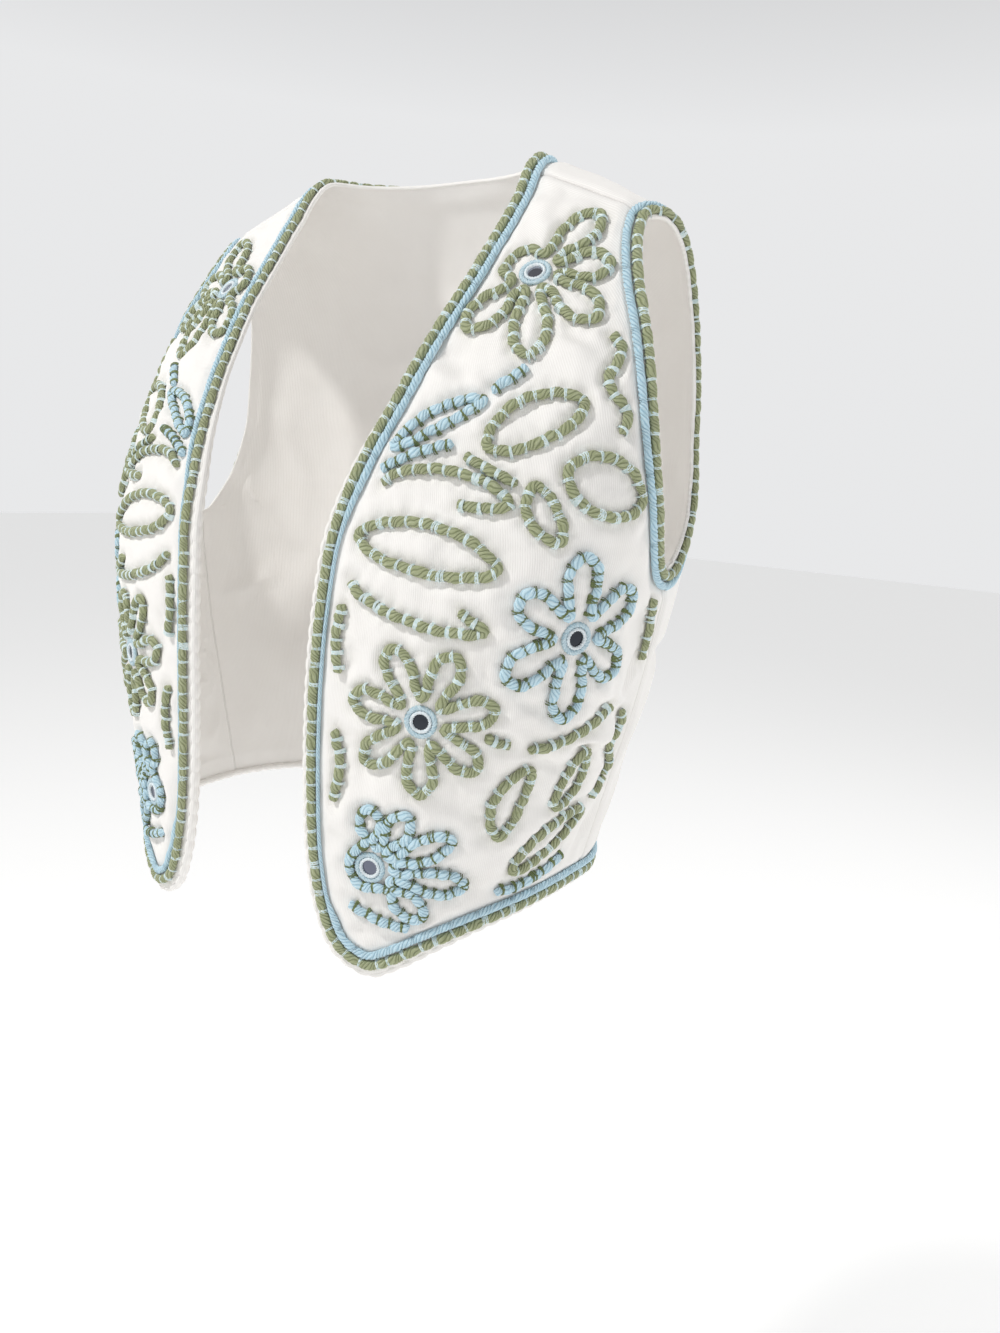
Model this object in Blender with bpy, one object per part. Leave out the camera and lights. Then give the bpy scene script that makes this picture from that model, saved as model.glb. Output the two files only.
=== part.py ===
# Embroidered waistcoat in the shape it takes when it is worn: two open fronts and a back,
# a pair of thick cords round every edge, and couched cord flowers, leaves and mirrors on the fronts.
# Millimetres in the tables, metres in the model. The wearer faces -Y, the wearer's left is +X.
# The origin is midway between the two neck points of the shoulder seams.
import math

import bmesh
import bpy
import numpy as np

MM = 0.001

# Cloth and cord sizes
CLOTH = 3.0            # two layers of cotton with a little filling between them
SEAM_GAP = 0.34        # space between two cloth pieces where they are sewn together
LIFT = 0.60            # space between the cloth and what lies on it
CORD_WIDTH = 6.4
CORD_HEIGHT = 4.2
EDGE_GREEN_IN = 6.0    # from the cut edge to the middle of the green edge cord
EDGE_BLUE_IN = 12.7    # from the cut edge to the middle of the blue edge cord
EDGE_BLUE_WIDTH = 5.2
EDGE_BLUE_HEIGHT = 3.8
GLASS_RADIUS = 4.9
GLASS_THICK = 1.1
RING_RADIUS = 7.7      # middle of the thread ring that holds a mirror
RING_WIDTH = 4.5
RING_HEIGHT = 2.4

GREEN = (0.30, 0.34, 0.19)
BLUE = (0.50, 0.68, 0.76)
CREAM = (0.80, 0.77, 0.70)
GLASS = (0.16, 0.17, 0.19)
THREAD = (0.62, 0.74, 0.78)

# Level cuts through the worn garment. The middle of a cut lies at depth centre, and each half of it
# is a rounded rectangle: power 2 is an ellipse, and a higher power has squarer corners.
# height, half_width, centre, front_depth, back_depth, front_power, back_power
SECTIONS = (
    (24, 48, 18, 14, 36, 2.0, 2.0),
    (10, 90, 18, 22, 43.5, 2.0, 2.0),
    (0, 116, 18, 28, 49, 2.0, 2.0),
    (-20, 164, 16, 34, 61.5, 2.0, 2.0),
    (-38, 192, 12, 42, 74, 2.0, 2.1),
    (-65, 205, 6, 56, 90, 2.1, 2.2),
    (-100, 214, 2, 77, 103, 2.3, 2.2),
    (-150, 220, 0, 105, 110, 2.5, 2.2),
    (-200, 221, 0, 129, 110, 2.7, 2.3),
    (-250, 216, 0, 143, 107, 2.9, 2.3),
    (-330, 203, 0, 147, 100, 3.0, 2.3),
    (-400, 186, 0, 146, 96, 3.1, 2.3),
    (-460, 172, 0, 145, 96, 3.1, 2.3),
    (-540, 160, 0, 143, 96, 3.1, 2.3),
)

# Soft folds of the back, which hangs free below the shoulder blades.
# angle, half_angle, top, bottom, swell
FOLDS = (
    (128, 17, -250, -500, 2.6),
    (180, 26, -290, -520, 2.2),
    (-128, 17, -250, -500, 2.6),
)

# Cut edges of the left half; the right half is its mirror image.
# height, across
FRONT_EDGE = (
    (0, 88), (-14, 90), (-37, 90), (-60, 88), (-85, 86), (-118, 80), (-154, 74), (-186, 67),
    (-217, 61), (-265, 56), (-329, 53), (-395, 53), (-440, 56), (-475, 64), (-498, 76),
)
# angle, height
FRONT_HEM = ((37, -509), (43, -501), (50, -488), (60, -475), (72, -469), (90, -468))
BACK_HEM = ((90, -468), (120, -466), (150, -463), (180, -462))
# depth, height
ARMHOLE_FRONT = (
    (0, -245), (-8, -242), (-16, -230), (-24, -210), (-31, -180), (-33, -146), (-29, -110),
    (-22, -80), (-10, -53), (0, -38),
)
ARMHOLE_BACK = (
    (0, -245), (8, -242), (18, -231), (31, -208), (40, -172), (41, -135), (39, -100), (34, -72),
    (25, -49), (13, -38.5), (0, -38),
)
# across, depth, height
BACK_NECK = ((88, 0, 0), (86, 18, 10), (74, 36, 13), (42, 53, 15), (0, 59, 16))

# Flowers of one looped cord each. Angles are on the cloth, from the wearer's left, going up.
# name, colour, angle, height, spread, first, half_width, closing radius, reach of each petal
FLOWERS = (
    ("flower_1", "green", 69.3, -76, 232, -150, 9.6, 20.5, (54, 62, 54, 45, 56)),
    ("flower_2", "blue", 68, -285, 360, 30, 9.6, 0, (50, 48, 45, 49, 50, 46)),
    ("flower_3", "green", 44.5, -339, 360, 14, 7.6, 0, (45, 45, 46, 45, 45, 45, 44)),
    ("flower_4", "blue", 36.4, -436, 165, -58, 6.8, 13.8, (46, 65, 57, 44, 38)),
)
# Leaves of one closed loop of cord each.
# name, colour, base_angle, base_height, tip_angle, tip_height, half_width, bow
LEAVES = (
    ("leaf_1", "blue", 37.5, -184, 55, -155, 6.0, 3),
    ("leaf_2", "green", 54.5, -181, 69.5, -153, 14.0, 3),
    ("leaf_3", "green", 65.5, -192, 77.6, -206, 16.5, 0),
    ("leaf_4", "green", 60.6, -201, 64.0, -230, 8.4, -3),
    ("leaf_6", "green", 31, -236, 55, -248, 13.4, 2),
    ("leaf_8", "green", 59.5, -410, 63.5, -366, 9.0, 4),
    ("leaf_9", "green", 64, -436, 81, -405, 9.0, 3),
    ("leaf_10", "green", 71.5, -396, 76, -360, 8.6, -2),
)
# Leaves whose second side stops on its way back from the tip.
# name, colour, base_angle, base_height, tip_angle, tip_height, half_width, second half_width, bow, end of second side
OPEN_LEAVES = (
    ("leaf_5", "green", 35, -206, 57, -212, 13.0, 7.0, 0, 0.62),
    ("leaf_7", "green", 29.5, -262, 53.5, -283, -9.0, -9.0, 0, 0.80),
)
# Stems: a bow or a wave of cord between two places.
# name, colour, start_angle, start_height, end_angle, end_height, bow, swing, waves
STEMS = (
    ("stem_1", "green", 62.5, -353, 80.5, -331, -4, 0, 0),
    ("stem_2", "green", 75.4, -112, 74.0, -168, 0, 5, 1.5),
    ("stem_3", "green", 85, -338, 86, -384, 0, 4, 1.5),
)

MEAN_RADIUS = 180.0


def monotone_curve(keys, values, at):
    order = np.argsort(keys)
    k = np.asarray(keys, float)[order]
    v = np.asarray(values, float)[order]
    slope = np.diff(v) / np.diff(k)
    tangent = np.concatenate(([slope[0]], np.zeros(len(k) - 2), [slope[-1]]))
    for i in range(1, len(k) - 1):
        before, after = slope[i - 1], slope[i]
        if before * after > 0.0:
            wide, near = k[i + 1] - k[i], k[i] - k[i - 1]
            share = (2 * wide + near) / before + (wide + 2 * near) / after
            tangent[i] = 3.0 * (wide + near) / share
    i = np.clip(np.searchsorted(k, at, side="right") - 1, 0, len(k) - 2)
    h = k[i + 1] - k[i]
    s = (at - k[i]) / h
    return (v[i] * (1 + 2 * s) * (1 - s) ** 2 + tangent[i] * h * s * (1 - s) ** 2
            + v[i + 1] * s * s * (3 - 2 * s) + tangent[i + 1] * h * s * s * (s - 1))


LEVELS = np.arange(-540.0, 24.01, 0.5)
HEIGHTS = [row[0] for row in SECTIONS]
SIZES = [monotone_curve(HEIGHTS, [row[c] for row in SECTIONS], LEVELS) for c in range(1, 7)]


def section(z):
    return [np.interp(z, LEVELS, size) for size in SIZES]


def fold(x, y, z):
    swell = 0.0 * x
    angle = np.degrees(np.arctan2(x, -y))
    for middle, half, top, bottom, height in FOLDS:
        away = np.abs((angle - middle + 180.0) % 360.0 - 180.0) / half
        down = np.clip((top - z) / (top - bottom), 0.0, 1.0)
        swell = swell + height * np.cos(np.clip(away, 0, 1) * math.pi / 2) ** 2 * down ** 1.3
    return swell


def outside(p):
    x, y, z = p[:, 0], p[:, 1], p[:, 2]
    a, centre, front, back, front_power, back_power = section(z)
    v = y - centre
    depth = np.where(v < 0, front, back)
    power = np.where(v < 0, front_power, back_power)
    level = ((np.abs(x) / a) ** power + (np.abs(v) / depth) ** power) ** (1 / power)
    return (level - 1) * MEAN_RADIUS - fold(x, y, z)


def gradient(p, step=0.4):
    slope = np.zeros_like(p)
    for axis in range(3):
        move = np.zeros(3)
        move[axis] = step
        slope[:, axis] = (outside(p + move) - outside(p - move)) / (2 * step)
    return slope


def on_cloth(points, steps=7):
    # Moves points straight onto the outer face of the cloth and gives its outward direction there.
    p = np.array(points, float).reshape(-1, 3)
    for _ in range(steps):
        slope = gradient(p)
        p = p - (outside(p) / np.maximum((slope * slope).sum(1), 1e-9))[:, None] * slope
    slope = gradient(p)
    return p, slope / np.linalg.norm(slope, axis=1)[:, None]


def by_angle(angle, z):
    turn = math.radians(angle)
    a, centre, front, back, front_power, back_power = section(float(z))
    s, c = abs(math.sin(turn)), math.cos(turn)
    depth, power = (front, front_power) if c >= 0 else (back, back_power)
    r = 1 / ((s / a) ** power + (abs(c) / depth) ** power) ** (1 / power)
    return np.array((r * math.sin(turn), centre - r * c, z))


def by_front(x, z):
    a, centre, front, back, front_power, back_power = section(float(z))
    left = max(0.0, 1 - (abs(x) / a) ** front_power)
    return np.array((x, centre - front * left ** (1 / front_power), z))


def by_side(y, z):
    a, centre, front, back, front_power, back_power = section(float(z))
    v = y - centre
    depth, power = (front, front_power) if v < 0 else (back, back_power)
    left = max(0.0, 1 - (abs(v) / depth) ** power)
    return np.array((a * left ** (1 / power), y, z))


def even(p, count, closed=False):
    run = np.concatenate(([0.0], np.cumsum(np.linalg.norm(np.diff(p, axis=0), axis=1))))
    at = np.linspace(0, run[-1], count + 1)[:-1] if closed else np.linspace(0, run[-1], count)
    return np.stack([np.interp(at, run, p[:, c]) for c in range(3)], -1)


def smooth_path(points, count, closed=False):
    # A smooth curve through the points, with its stations at equal distances.
    p = np.asarray(points, float)
    if closed:
        q = np.vstack([p[-1], p, p[0], p[1]])
    else:
        q = np.vstack([2 * p[0] - p[1], p, 2 * p[-1] - p[-2]])
    out = []
    for i in range(1, len(q) - 2):
        k = [0.0]
        for j in range(i - 1, i + 2):
            k.append(k[-1] + max(np.linalg.norm(q[j + 1] - q[j]), 1e-6) ** 0.5)
        t = np.linspace(k[1], k[2], 20, endpoint=False)[:, None]
        a1 = (k[1] - t) / (k[1] - k[0]) * q[i - 1] + (t - k[0]) / (k[1] - k[0]) * q[i]
        a2 = (k[2] - t) / (k[2] - k[1]) * q[i] + (t - k[1]) / (k[2] - k[1]) * q[i + 1]
        a3 = (k[3] - t) / (k[3] - k[2]) * q[i + 1] + (t - k[2]) / (k[3] - k[2]) * q[i + 2]
        b1 = (k[2] - t) / (k[2] - k[0]) * a1 + (t - k[0]) / (k[2] - k[0]) * a2
        b2 = (k[3] - t) / (k[3] - k[1]) * a2 + (t - k[1]) / (k[3] - k[1]) * a3
        out.append((k[2] - t) / (k[2] - k[1]) * b1 + (t - k[1]) / (k[2] - k[1]) * b2)
    out = np.vstack(out + [p[:1] if closed else p[-1:]])
    return even(out, count, closed)


def front_rim():
    # The front's free edge from the neck point down, round the point and along the hem.
    edge = [by_front(x, z) for z, x in FRONT_EDGE]
    hem = [by_angle(angle, z) for angle, z in FRONT_HEM]
    corner = 0.5 * (edge[-1] + hem[0])
    path = on_cloth(smooth_path(edge + hem, 600))[0]
    split = int(np.argmin(np.linalg.norm(path - corner, axis=1)))
    return path[: split + 1], path[split:]


def armhole(rows, count, gap):
    # One half of the armhole's edge, from the side seam up to the shoulder seam.
    path = smooth_path([by_side(y, z) for y, z in rows], 300)
    path[:, 1] += gap
    return even(on_cloth(path)[0], count)


def shoulder(count, gap):
    share = np.linspace(0, 1, count)[:, None]
    line = np.array((88.0, gap, 0.0)) * (1 - share) + np.array((184.0, gap, -38.0)) * share
    return on_cloth(line)[0]


def side_seam(count, gap):
    heights = np.linspace(FRONT_HEM[-1][1], ARMHOLE_FRONT[0][1], count)
    return on_cloth([by_side(gap, z) for z in heights])[0]


def patch(left, right, bottom, top):
    # A surface through four edges: left and right run up, bottom and top run from left to right.
    columns, rows = len(bottom), len(left)
    u = np.linspace(0, 1, columns)[:, None, None]
    v = np.linspace(0, 1, rows)[None, :, None]
    across = (1 - u) * left[None] + u * right[None]
    up = (1 - v) * bottom[:, None] + v * top[:, None]
    corners = ((1 - u) * (1 - v) * left[0] + u * (1 - v) * right[0]
               + (1 - u) * v * left[-1] + u * v * right[-1])
    points, normals = on_cloth((across + up - corners).reshape(-1, 3))
    return points.reshape(columns, rows, 3), normals.reshape(columns, rows, 3)


def material(name, colour, roughness, metallic=0.0):
    made = bpy.data.materials.new(name)
    made.use_nodes = True
    shader = made.node_tree.nodes["Principled BSDF"]
    shader.inputs["Base Color"].default_value = (*colour, 1.0)
    shader.inputs["Roughness"].default_value = roughness
    shader.inputs["Metallic"].default_value = metallic
    return made


def finish(name, mesh, look, smooth=True):
    bmesh.ops.recalc_face_normals(mesh, faces=mesh.faces[:])
    if mesh.calc_volume(signed=True) < 0:
        bmesh.ops.reverse_faces(mesh, faces=mesh.faces[:])
    data = bpy.data.meshes.new(name)
    mesh.to_mesh(data)
    mesh.free()
    data.materials.append(look)
    piece = bpy.data.objects.new(name, data)
    collection.objects.link(piece)
    if smooth:
        data.shade_smooth()
        data.set_sharp_from_angle(angle=math.radians(40))
    return piece


def cloth_piece(name, points, normals, side, look):
    # A flat grid is given a back face, and both faces are then bent into the panel's place.
    columns, rows = points.shape[0] - 1, points.shape[1] - 1
    mesh = bmesh.new()
    bmesh.ops.create_grid(mesh, x_segments=columns, y_segments=rows, size=1.0)
    bmesh.ops.solidify(mesh, geom=mesh.faces[:], thickness=1.0)
    top = max(vertex.co.z for vertex in mesh.verts)
    for vertex in mesh.verts:
        i = round((vertex.co.x + 1) / 2 * columns)
        j = round((vertex.co.y + 1) / 2 * rows)
        depth = 0.0 if vertex.co.z > top - 0.5 else CLOTH
        place = (points[i, j] - depth * normals[i, j]) * MM
        vertex.co = (side * place[0], place[1], place[2])
    return finish(name, mesh, look)


def cord(name, path, width, height, side, look, closed):
    # A pressed cord: flat where it lies on the cloth and rounded above, laid along its path.
    points, normals = on_cloth(path)
    count = len(points)
    if closed:
        ahead, behind = np.roll(points, -1, axis=0), np.roll(points, 1, axis=0)
    else:
        ahead = np.vstack([points[1:], points[-1:]])
        behind = np.vstack([points[:1], points[:-1]])
    along = ahead - behind
    across = np.cross(normals, along)
    across /= np.linalg.norm(across, axis=1)[:, None]
    outline = ((-0.5, 0.0), (0.5, 0.0), (0.33, 1.0), (-0.33, 1.0))
    steps = count if closed else count - 1
    mesh = bmesh.new()
    bmesh.ops.create_grid(mesh, x_segments=steps, y_segments=len(outline), size=1.0)
    for vertex in mesh.verts:
        i = round((vertex.co.x + 1) / 2 * steps) % count
        j = round((vertex.co.y + 1) / 2 * len(outline)) % len(outline)
        shift, rise = outline[j]
        place = points[i] + across[i] * shift * width + normals[i] * (LIFT + rise * height)
        vertex.co = (side * place[0] * MM, place[1] * MM, place[2] * MM)
    bmesh.ops.remove_doubles(mesh, verts=mesh.verts[:], dist=1e-6)
    if not closed:
        rim = [edge for edge in mesh.edges if edge.is_boundary]
        bmesh.ops.holes_fill(mesh, edges=rim, sides=0)
    return finish(name, mesh, look)


def tangents(angle, z):
    # The cloth's own directions at a place: towards the wearer's side, and up.
    place, out = on_cloth([by_angle(angle, z)])
    place, out = place[0], out[0]
    up = np.array((0.0, 0.0, 1.0)) - out * out[2]
    up /= np.linalg.norm(up)
    return place, np.cross(up, out), up


def ring_path(angle, z, radius, count):
    place, aside, up = tangents(angle, z)
    turn = np.arange(count) * 2 * math.pi / count
    return place + radius * (np.cos(turn)[:, None] * aside + np.sin(turn)[:, None] * up)


def flower_path(angle, z, spread, first, half_width, closing, reaches, count):
    # One cord loops out and back for each petal, and turns close to the mirror between two petals.
    place, aside, up = tangents(angle, z)
    petals = len(reaches)
    step = spread / petals
    inner = max(14.6, (CORD_WIDTH + 0.9) / (2 * math.sin(math.radians(step) / 2)) * 0.96)
    stations = []
    for petal in range(petals):
        lean = first + (petal + 0.5) * step if spread < 360 else first + petal * step
        long = reaches[petal]
        half_step = math.radians(step / 2)
        valley = (inner * math.cos(half_step), inner * math.sin(half_step))
        pinch = inner + 5.0
        room = pinch * math.tan(half_step) - (CORD_WIDTH + 0.8) / 2
        shape = [
            (pinch, min(room, half_width)),
            (inner + 0.45 * (long - inner), min(half_width, 0.93 * half_width + 1)),
            (inner + 0.80 * (long - inner), half_width * 0.90),
            (long, 0.0),
        ]
        local = [(valley[0], -valley[1])] + [(a, -b) for a, b in shape[:3]] + [shape[3]]
        local += [(a, b) for a, b in reversed(shape[:3])]
        if spread < 360 and petal == petals - 1:
            local.append(valley)
        c, s = math.cos(math.radians(lean)), math.sin(math.radians(lean))
        stations += [(a * c - b * s, a * s + b * c) for a, b in local]
    if spread < 360:
        start, rest = first + spread, 360 - spread
        for share in (0.25, 0.5, 0.75):
            turn = math.radians(start + rest * share)
            stations.append((closing * math.cos(turn), closing * math.sin(turn)))
    flat = np.array([place + a * aside + b * up for a, b in stations])
    return smooth_path(flat, count, closed=True)


def between(start, end):
    # Two places on the cloth, the way along and across between them, and how far the cloth bulges.
    start = on_cloth([by_angle(*start)])[0][0]
    end = on_cloth([by_angle(*end)])[0][0]
    middle, out = on_cloth([(start + end) / 2])
    along = end - start
    across = np.cross(out[0], along)
    across /= np.linalg.norm(across)
    bulge = out[0] * np.linalg.norm(middle[0] - (start + end) / 2)
    return start, along, across, bulge


LEAF_SHAPE = ((0.0, 0.0), (0.12, 0.62), (0.45, 1.0), (0.82, 0.70), (1.0, 0.0))


def leaf_path(base, tip, half_width, bow, count, second=None, stop=0.0):
    # One side out to the tip and the other side back, all the way or only part of it.
    start, along, across, bulge = between(base, tip)
    outline = [(share, wide * half_width) for share, wide in LEAF_SHAPE]
    back = [(share, -wide * (second or half_width)) for share, wide in LEAF_SHAPE[3:0:-1]]
    if stop:
        wide = np.interp(stop, [share for share, _ in LEAF_SHAPE], [wide for _, wide in LEAF_SHAPE])
        back = [row for row in back if row[0] > stop + 0.08] + [(stop, -wide * second)]
    stations = []
    for share, aside in outline + back:
        arch = 4 * share * (1 - share)
        stations.append(start + along * share + across * (aside + bow * arch) + bulge * arch)
    return smooth_path(stations, count, closed=not stop)


def stem_path(start, end, bow, swing, waves, step):
    start, along, across, bulge = between(start, end)
    share = np.linspace(0, 1, 25)[:, None]
    arch = 4 * share * (1 - share)
    aside = bow * arch + swing * np.sin(2 * math.pi * waves * share)
    points = on_cloth(start + along * share + across * aside + bulge * arch)[0]
    length = np.linalg.norm(np.diff(points, axis=0), axis=1).sum()
    return even(points, max(4, int(length / step) + 1))


def edge_pair(path, count):
    # The two cords of a closed edge, moved over the cloth away from the opening, with their
    # stations side by side and closer together where the edge turns.
    points, normals = on_cloth(even(path, 900, closed=True))
    moved = []
    for inset in (EDGE_GREEN_IN, EDGE_BLUE_IN):
        along = np.roll(points, -3, axis=0) - np.roll(points, 3, axis=0)
        inward = np.cross(normals, along)
        inward /= np.linalg.norm(inward, axis=1)[:, None]
        line = on_cloth(points + inward * inset)[0]
        for _ in range(14):
            line = (np.roll(line, 1, axis=0) + 2 * line + np.roll(line, -1, axis=0)) / 4
        moved.append(line)
    ahead = np.roll(moved[0], -6, axis=0) - moved[0]
    behind = moved[0] - np.roll(moved[0], 6, axis=0)
    turn = np.linalg.norm(ahead / np.linalg.norm(ahead, axis=1)[:, None]
                          - behind / np.linalg.norm(behind, axis=1)[:, None], axis=1)
    pace = np.concatenate(([0.0], np.cumsum(1.0 + 12.0 * turn)))
    at = np.interp(np.linspace(0, pace[-1], count + 1)[:-1], pace, np.arange(901.0))
    pair = []
    for line in moved:
        ring = np.vstack([line, line[:1]])
        pair.append(np.stack([np.interp(at, np.arange(901.0), ring[:, c]) for c in range(3)], -1))
    return pair


def mirrored(path):
    return path * np.array((-1.0, 1.0, 1.0))


def glass(name, angle, z, side, look):
    place, aside, up = tangents(angle, z)
    out = np.cross(aside, up)
    mesh = bmesh.new()
    bmesh.ops.create_cone(mesh, cap_ends=True, segments=14, radius1=GLASS_RADIUS,
                          radius2=GLASS_RADIUS, depth=GLASS_THICK)
    for vertex in mesh.verts:
        x, y, h = vertex.co
        spot = place + aside * x + up * y + out * (h + GLASS_THICK / 2 + LIFT + 0.1)
        vertex.co = (side * spot[0] * MM, spot[1] * MM, spot[2] * MM)
    return finish(name, mesh, look, smooth=False)


for old in list(bpy.data.objects):
    bpy.data.objects.remove(old, do_unlink=True)
collection = bpy.data.collections.new("embroidered_vest")
bpy.context.scene.collection.children.link(collection)

cotton = material("cream_cotton", CREAM, 0.9)
looks = {
    "green": material("green_yarn", GREEN, 0.88),
    "blue": material("blue_yarn", BLUE, 0.88),
    "glass": material("mirror_glass", GLASS, 0.08, 0.9),
    "thread": material("pale_thread", THREAD, 0.7),
}

# Cloth pieces
FRONT_COLUMNS, SIDE_ROWS, ARM_ROWS = 11, 12, 13
NECK_COLUMNS, SHOULDER_COLUMNS = 12, 5
half_gap = SEAM_GAP / 2
edge, hem = front_rim()
rows = SIDE_ROWS + ARM_ROWS + 1
front_right_edge = np.vstack([side_seam(SIDE_ROWS + 1, -half_gap)[:-1],
                              armhole(ARMHOLE_FRONT, ARM_ROWS + 1, -half_gap)])
hem_front = even(hem, FRONT_COLUMNS + 1)
hem_front[-1] = front_right_edge[0]
top_front = shoulder(FRONT_COLUMNS + 1, -half_gap)
edge_up = even(edge[::-1], rows)
edge_up[0] = hem_front[0]
edge_up[-1] = top_front[0]
front_right_edge[-1] = top_front[-1]
front_points, front_normals = patch(edge_up, front_right_edge, hem_front, top_front)
cloth_piece("front_left", front_points, front_normals, 1, cotton)
cloth_piece("front_right", front_points, front_normals, -1, cotton)

back_side = np.vstack([side_seam(SIDE_ROWS + 1, half_gap)[:-1],
                       armhole(ARMHOLE_BACK, ARM_ROWS + 1, half_gap)])
half_neck = [np.array(row, float) for row in BACK_NECK]
neck_stations = half_neck + [p * np.array((-1.0, 1.0, 1.0)) for p in reversed(half_neck[:-1])]
neck_path = on_cloth(smooth_path(neck_stations, 400))[0]
shoulder_back = shoulder(SHOULDER_COLUMNS + 1, half_gap)[::-1]
neck_back = even(neck_path, NECK_COLUMNS + 1)
top_back = np.vstack([shoulder_back[:-1], neck_back[:-1], mirrored(shoulder_back)[::-1]])
top_back[SHOULDER_COLUMNS] = shoulder_back[-1]
half_hem = [by_angle(angle, z) for angle, z in BACK_HEM]
hem_stations = half_hem + [p * np.array((-1.0, 1.0, 1.0)) for p in reversed(half_hem[:-1])]
hem_path = on_cloth(smooth_path(hem_stations, 400))[0]
hem_back = even(hem_path, len(top_back))
back_side[-1] = top_back[0]
hem_back[0] = back_side[0]
hem_back[-1] = mirrored(back_side)[0]
back_points, back_normals = patch(back_side, mirrored(back_side), hem_back, top_back)
cloth_piece("back", back_points, back_normals, 1, cotton)

# Edge cords
whole_edge = np.vstack([edge[:-1], hem[:-1], hem_path[:-1], mirrored(hem)[::-1][:-1],
                        mirrored(edge)[::-1][:-1], neck_path[::-1][:-1], edge[:1]])
green_line, blue_line = edge_pair(whole_edge, 112)
cord("edge_cord_green", green_line, CORD_WIDTH, CORD_HEIGHT, 1, looks["green"], True)
cord("edge_cord_blue", blue_line, EDGE_BLUE_WIDTH, EDGE_BLUE_HEIGHT, 1, looks["blue"], True)
hole_front = armhole(ARMHOLE_FRONT, 300, 0.0)
hole_back = armhole(ARMHOLE_BACK, 300, 0.0)
green_line, blue_line = edge_pair(np.vstack([hole_front[:-1], hole_back[::-1]]), 34)
for label, side in (("left", 1), ("right", -1)):
    cord("armhole_cord_green_" + label, green_line, CORD_WIDTH, CORD_HEIGHT, side,
         looks["green"], True)
    cord("armhole_cord_blue_" + label, blue_line, EDGE_BLUE_WIDTH, EDGE_BLUE_HEIGHT, side,
         looks["blue"], True)

# Flowers, leaves, stems and mirrors of the two fronts
for label, side in (("left", 1), ("right", -1)):
    for name, colour, angle, z, spread, first, half_width, closing, reaches in FLOWERS:
        count = len(reaches) * 12 + (6 if spread < 360 else 0)
        path = flower_path(angle, z, spread, first, half_width, closing, reaches, count)
        cord(name + "_" + label, path, CORD_WIDTH, CORD_HEIGHT, side, looks[colour], True)
        glass("mirror_" + name[-1] + "_" + label, angle, z, side, looks["glass"])
        cord("mirror_ring_" + name[-1] + "_" + label, ring_path(angle, z, RING_RADIUS, 14),
             RING_WIDTH, RING_HEIGHT, side, looks["thread"], True)
    for name, colour, base_angle, base_z, tip_angle, tip_z, half_width, bow in LEAVES:
        path = leaf_path((base_angle, base_z), (tip_angle, tip_z), half_width, bow, 18)
        cord(name + "_" + label, path, CORD_WIDTH, CORD_HEIGHT, side, looks[colour], True)
    for name, colour, base_angle, base_z, tip_angle, tip_z, half_width, second, bow, stop in OPEN_LEAVES:
        path = leaf_path((base_angle, base_z), (tip_angle, tip_z), half_width, bow, 15, second, stop)
        cord(name + "_" + label, path, CORD_WIDTH, CORD_HEIGHT, side, looks[colour], False)
    for name, colour, start_angle, start_z, end_angle, end_z, bow, swing, waves in STEMS:
        path = stem_path((start_angle, start_z), (end_angle, end_z), bow, swing, waves, 10.0)
        cord(name + "_" + label, path, CORD_WIDTH, CORD_HEIGHT, side, looks[colour], False)
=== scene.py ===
# Embroidered waistcoat in the shape it takes when it is worn: cotton cloth with puckers and soft
# folds, twisted yarn cords couched down with short stitches, and small mirrors in stitched rings.
# Millimetres in the tables, metres in the model. The wearer faces -Y, the wearer's left is +X.
import math
import random

import bmesh
import bpy
import numpy as np
from mathutils import Matrix, Vector, kdtree, noise


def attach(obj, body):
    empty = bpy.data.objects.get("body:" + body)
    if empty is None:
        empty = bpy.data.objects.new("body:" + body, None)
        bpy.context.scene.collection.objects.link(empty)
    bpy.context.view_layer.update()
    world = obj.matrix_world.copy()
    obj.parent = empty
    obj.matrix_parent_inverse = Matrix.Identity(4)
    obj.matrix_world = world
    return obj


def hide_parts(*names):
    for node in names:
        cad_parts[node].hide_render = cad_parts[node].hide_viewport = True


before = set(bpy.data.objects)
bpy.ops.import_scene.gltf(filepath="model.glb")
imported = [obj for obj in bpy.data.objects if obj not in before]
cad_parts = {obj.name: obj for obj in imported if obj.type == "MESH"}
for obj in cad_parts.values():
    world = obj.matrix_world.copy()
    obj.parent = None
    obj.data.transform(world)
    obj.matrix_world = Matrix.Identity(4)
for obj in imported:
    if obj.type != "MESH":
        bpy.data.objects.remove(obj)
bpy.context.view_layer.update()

MM = 0.001

# Cloth and cord sizes, as in the solids
SEAM_GAP = 0.34
CORD_WIDTH = 6.4
CORD_TOP = 4.8          # from the cloth to the top of a cord
EDGE_GREEN_IN = 6.0
EDGE_BLUE_IN = 12.7
EDGE_BLUE_WIDTH = 5.2
EDGE_BLUE_TOP = 4.4

# Sizes of the finer form
CLOTH_THICK = 2.4
TURNED_IN = 2.3         # the cloth is turned under the cord at the neck and the armholes
RIM_HALF = 3.1          # half width of the rolled edge outside the cord on the lower fronts and the hem
RIM_DEEP = 3.6          # half height of that roll
CORD_STEP = 1.22        # distance between two rings of a cord's mesh
LINES_A_STRAND = 3      # lines of the mesh that run along each strand
TWIST = 15.5            # length in which one strand goes once round its cord
STITCH_EVERY = 9.4
BLUE_STITCH_EVERY = 8.2
EDGE_STITCH_EVERY = 10.4
PINCHED = 1.75          # length of cord that a stitch draws in
TIP_LENGTH = 2.6        # length over which the end of a cord closes
CORD_LIFT = 0.15        # the underside of a cord above the cloth
BAND_STEPS = 8          # steps of the mesh from one end of a stitch to the other
BAND_THREADS = 2
THREAD_PROUD = 0.5
PUFF = 2.5              # how far the filled cloth stands up between two cords
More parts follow.
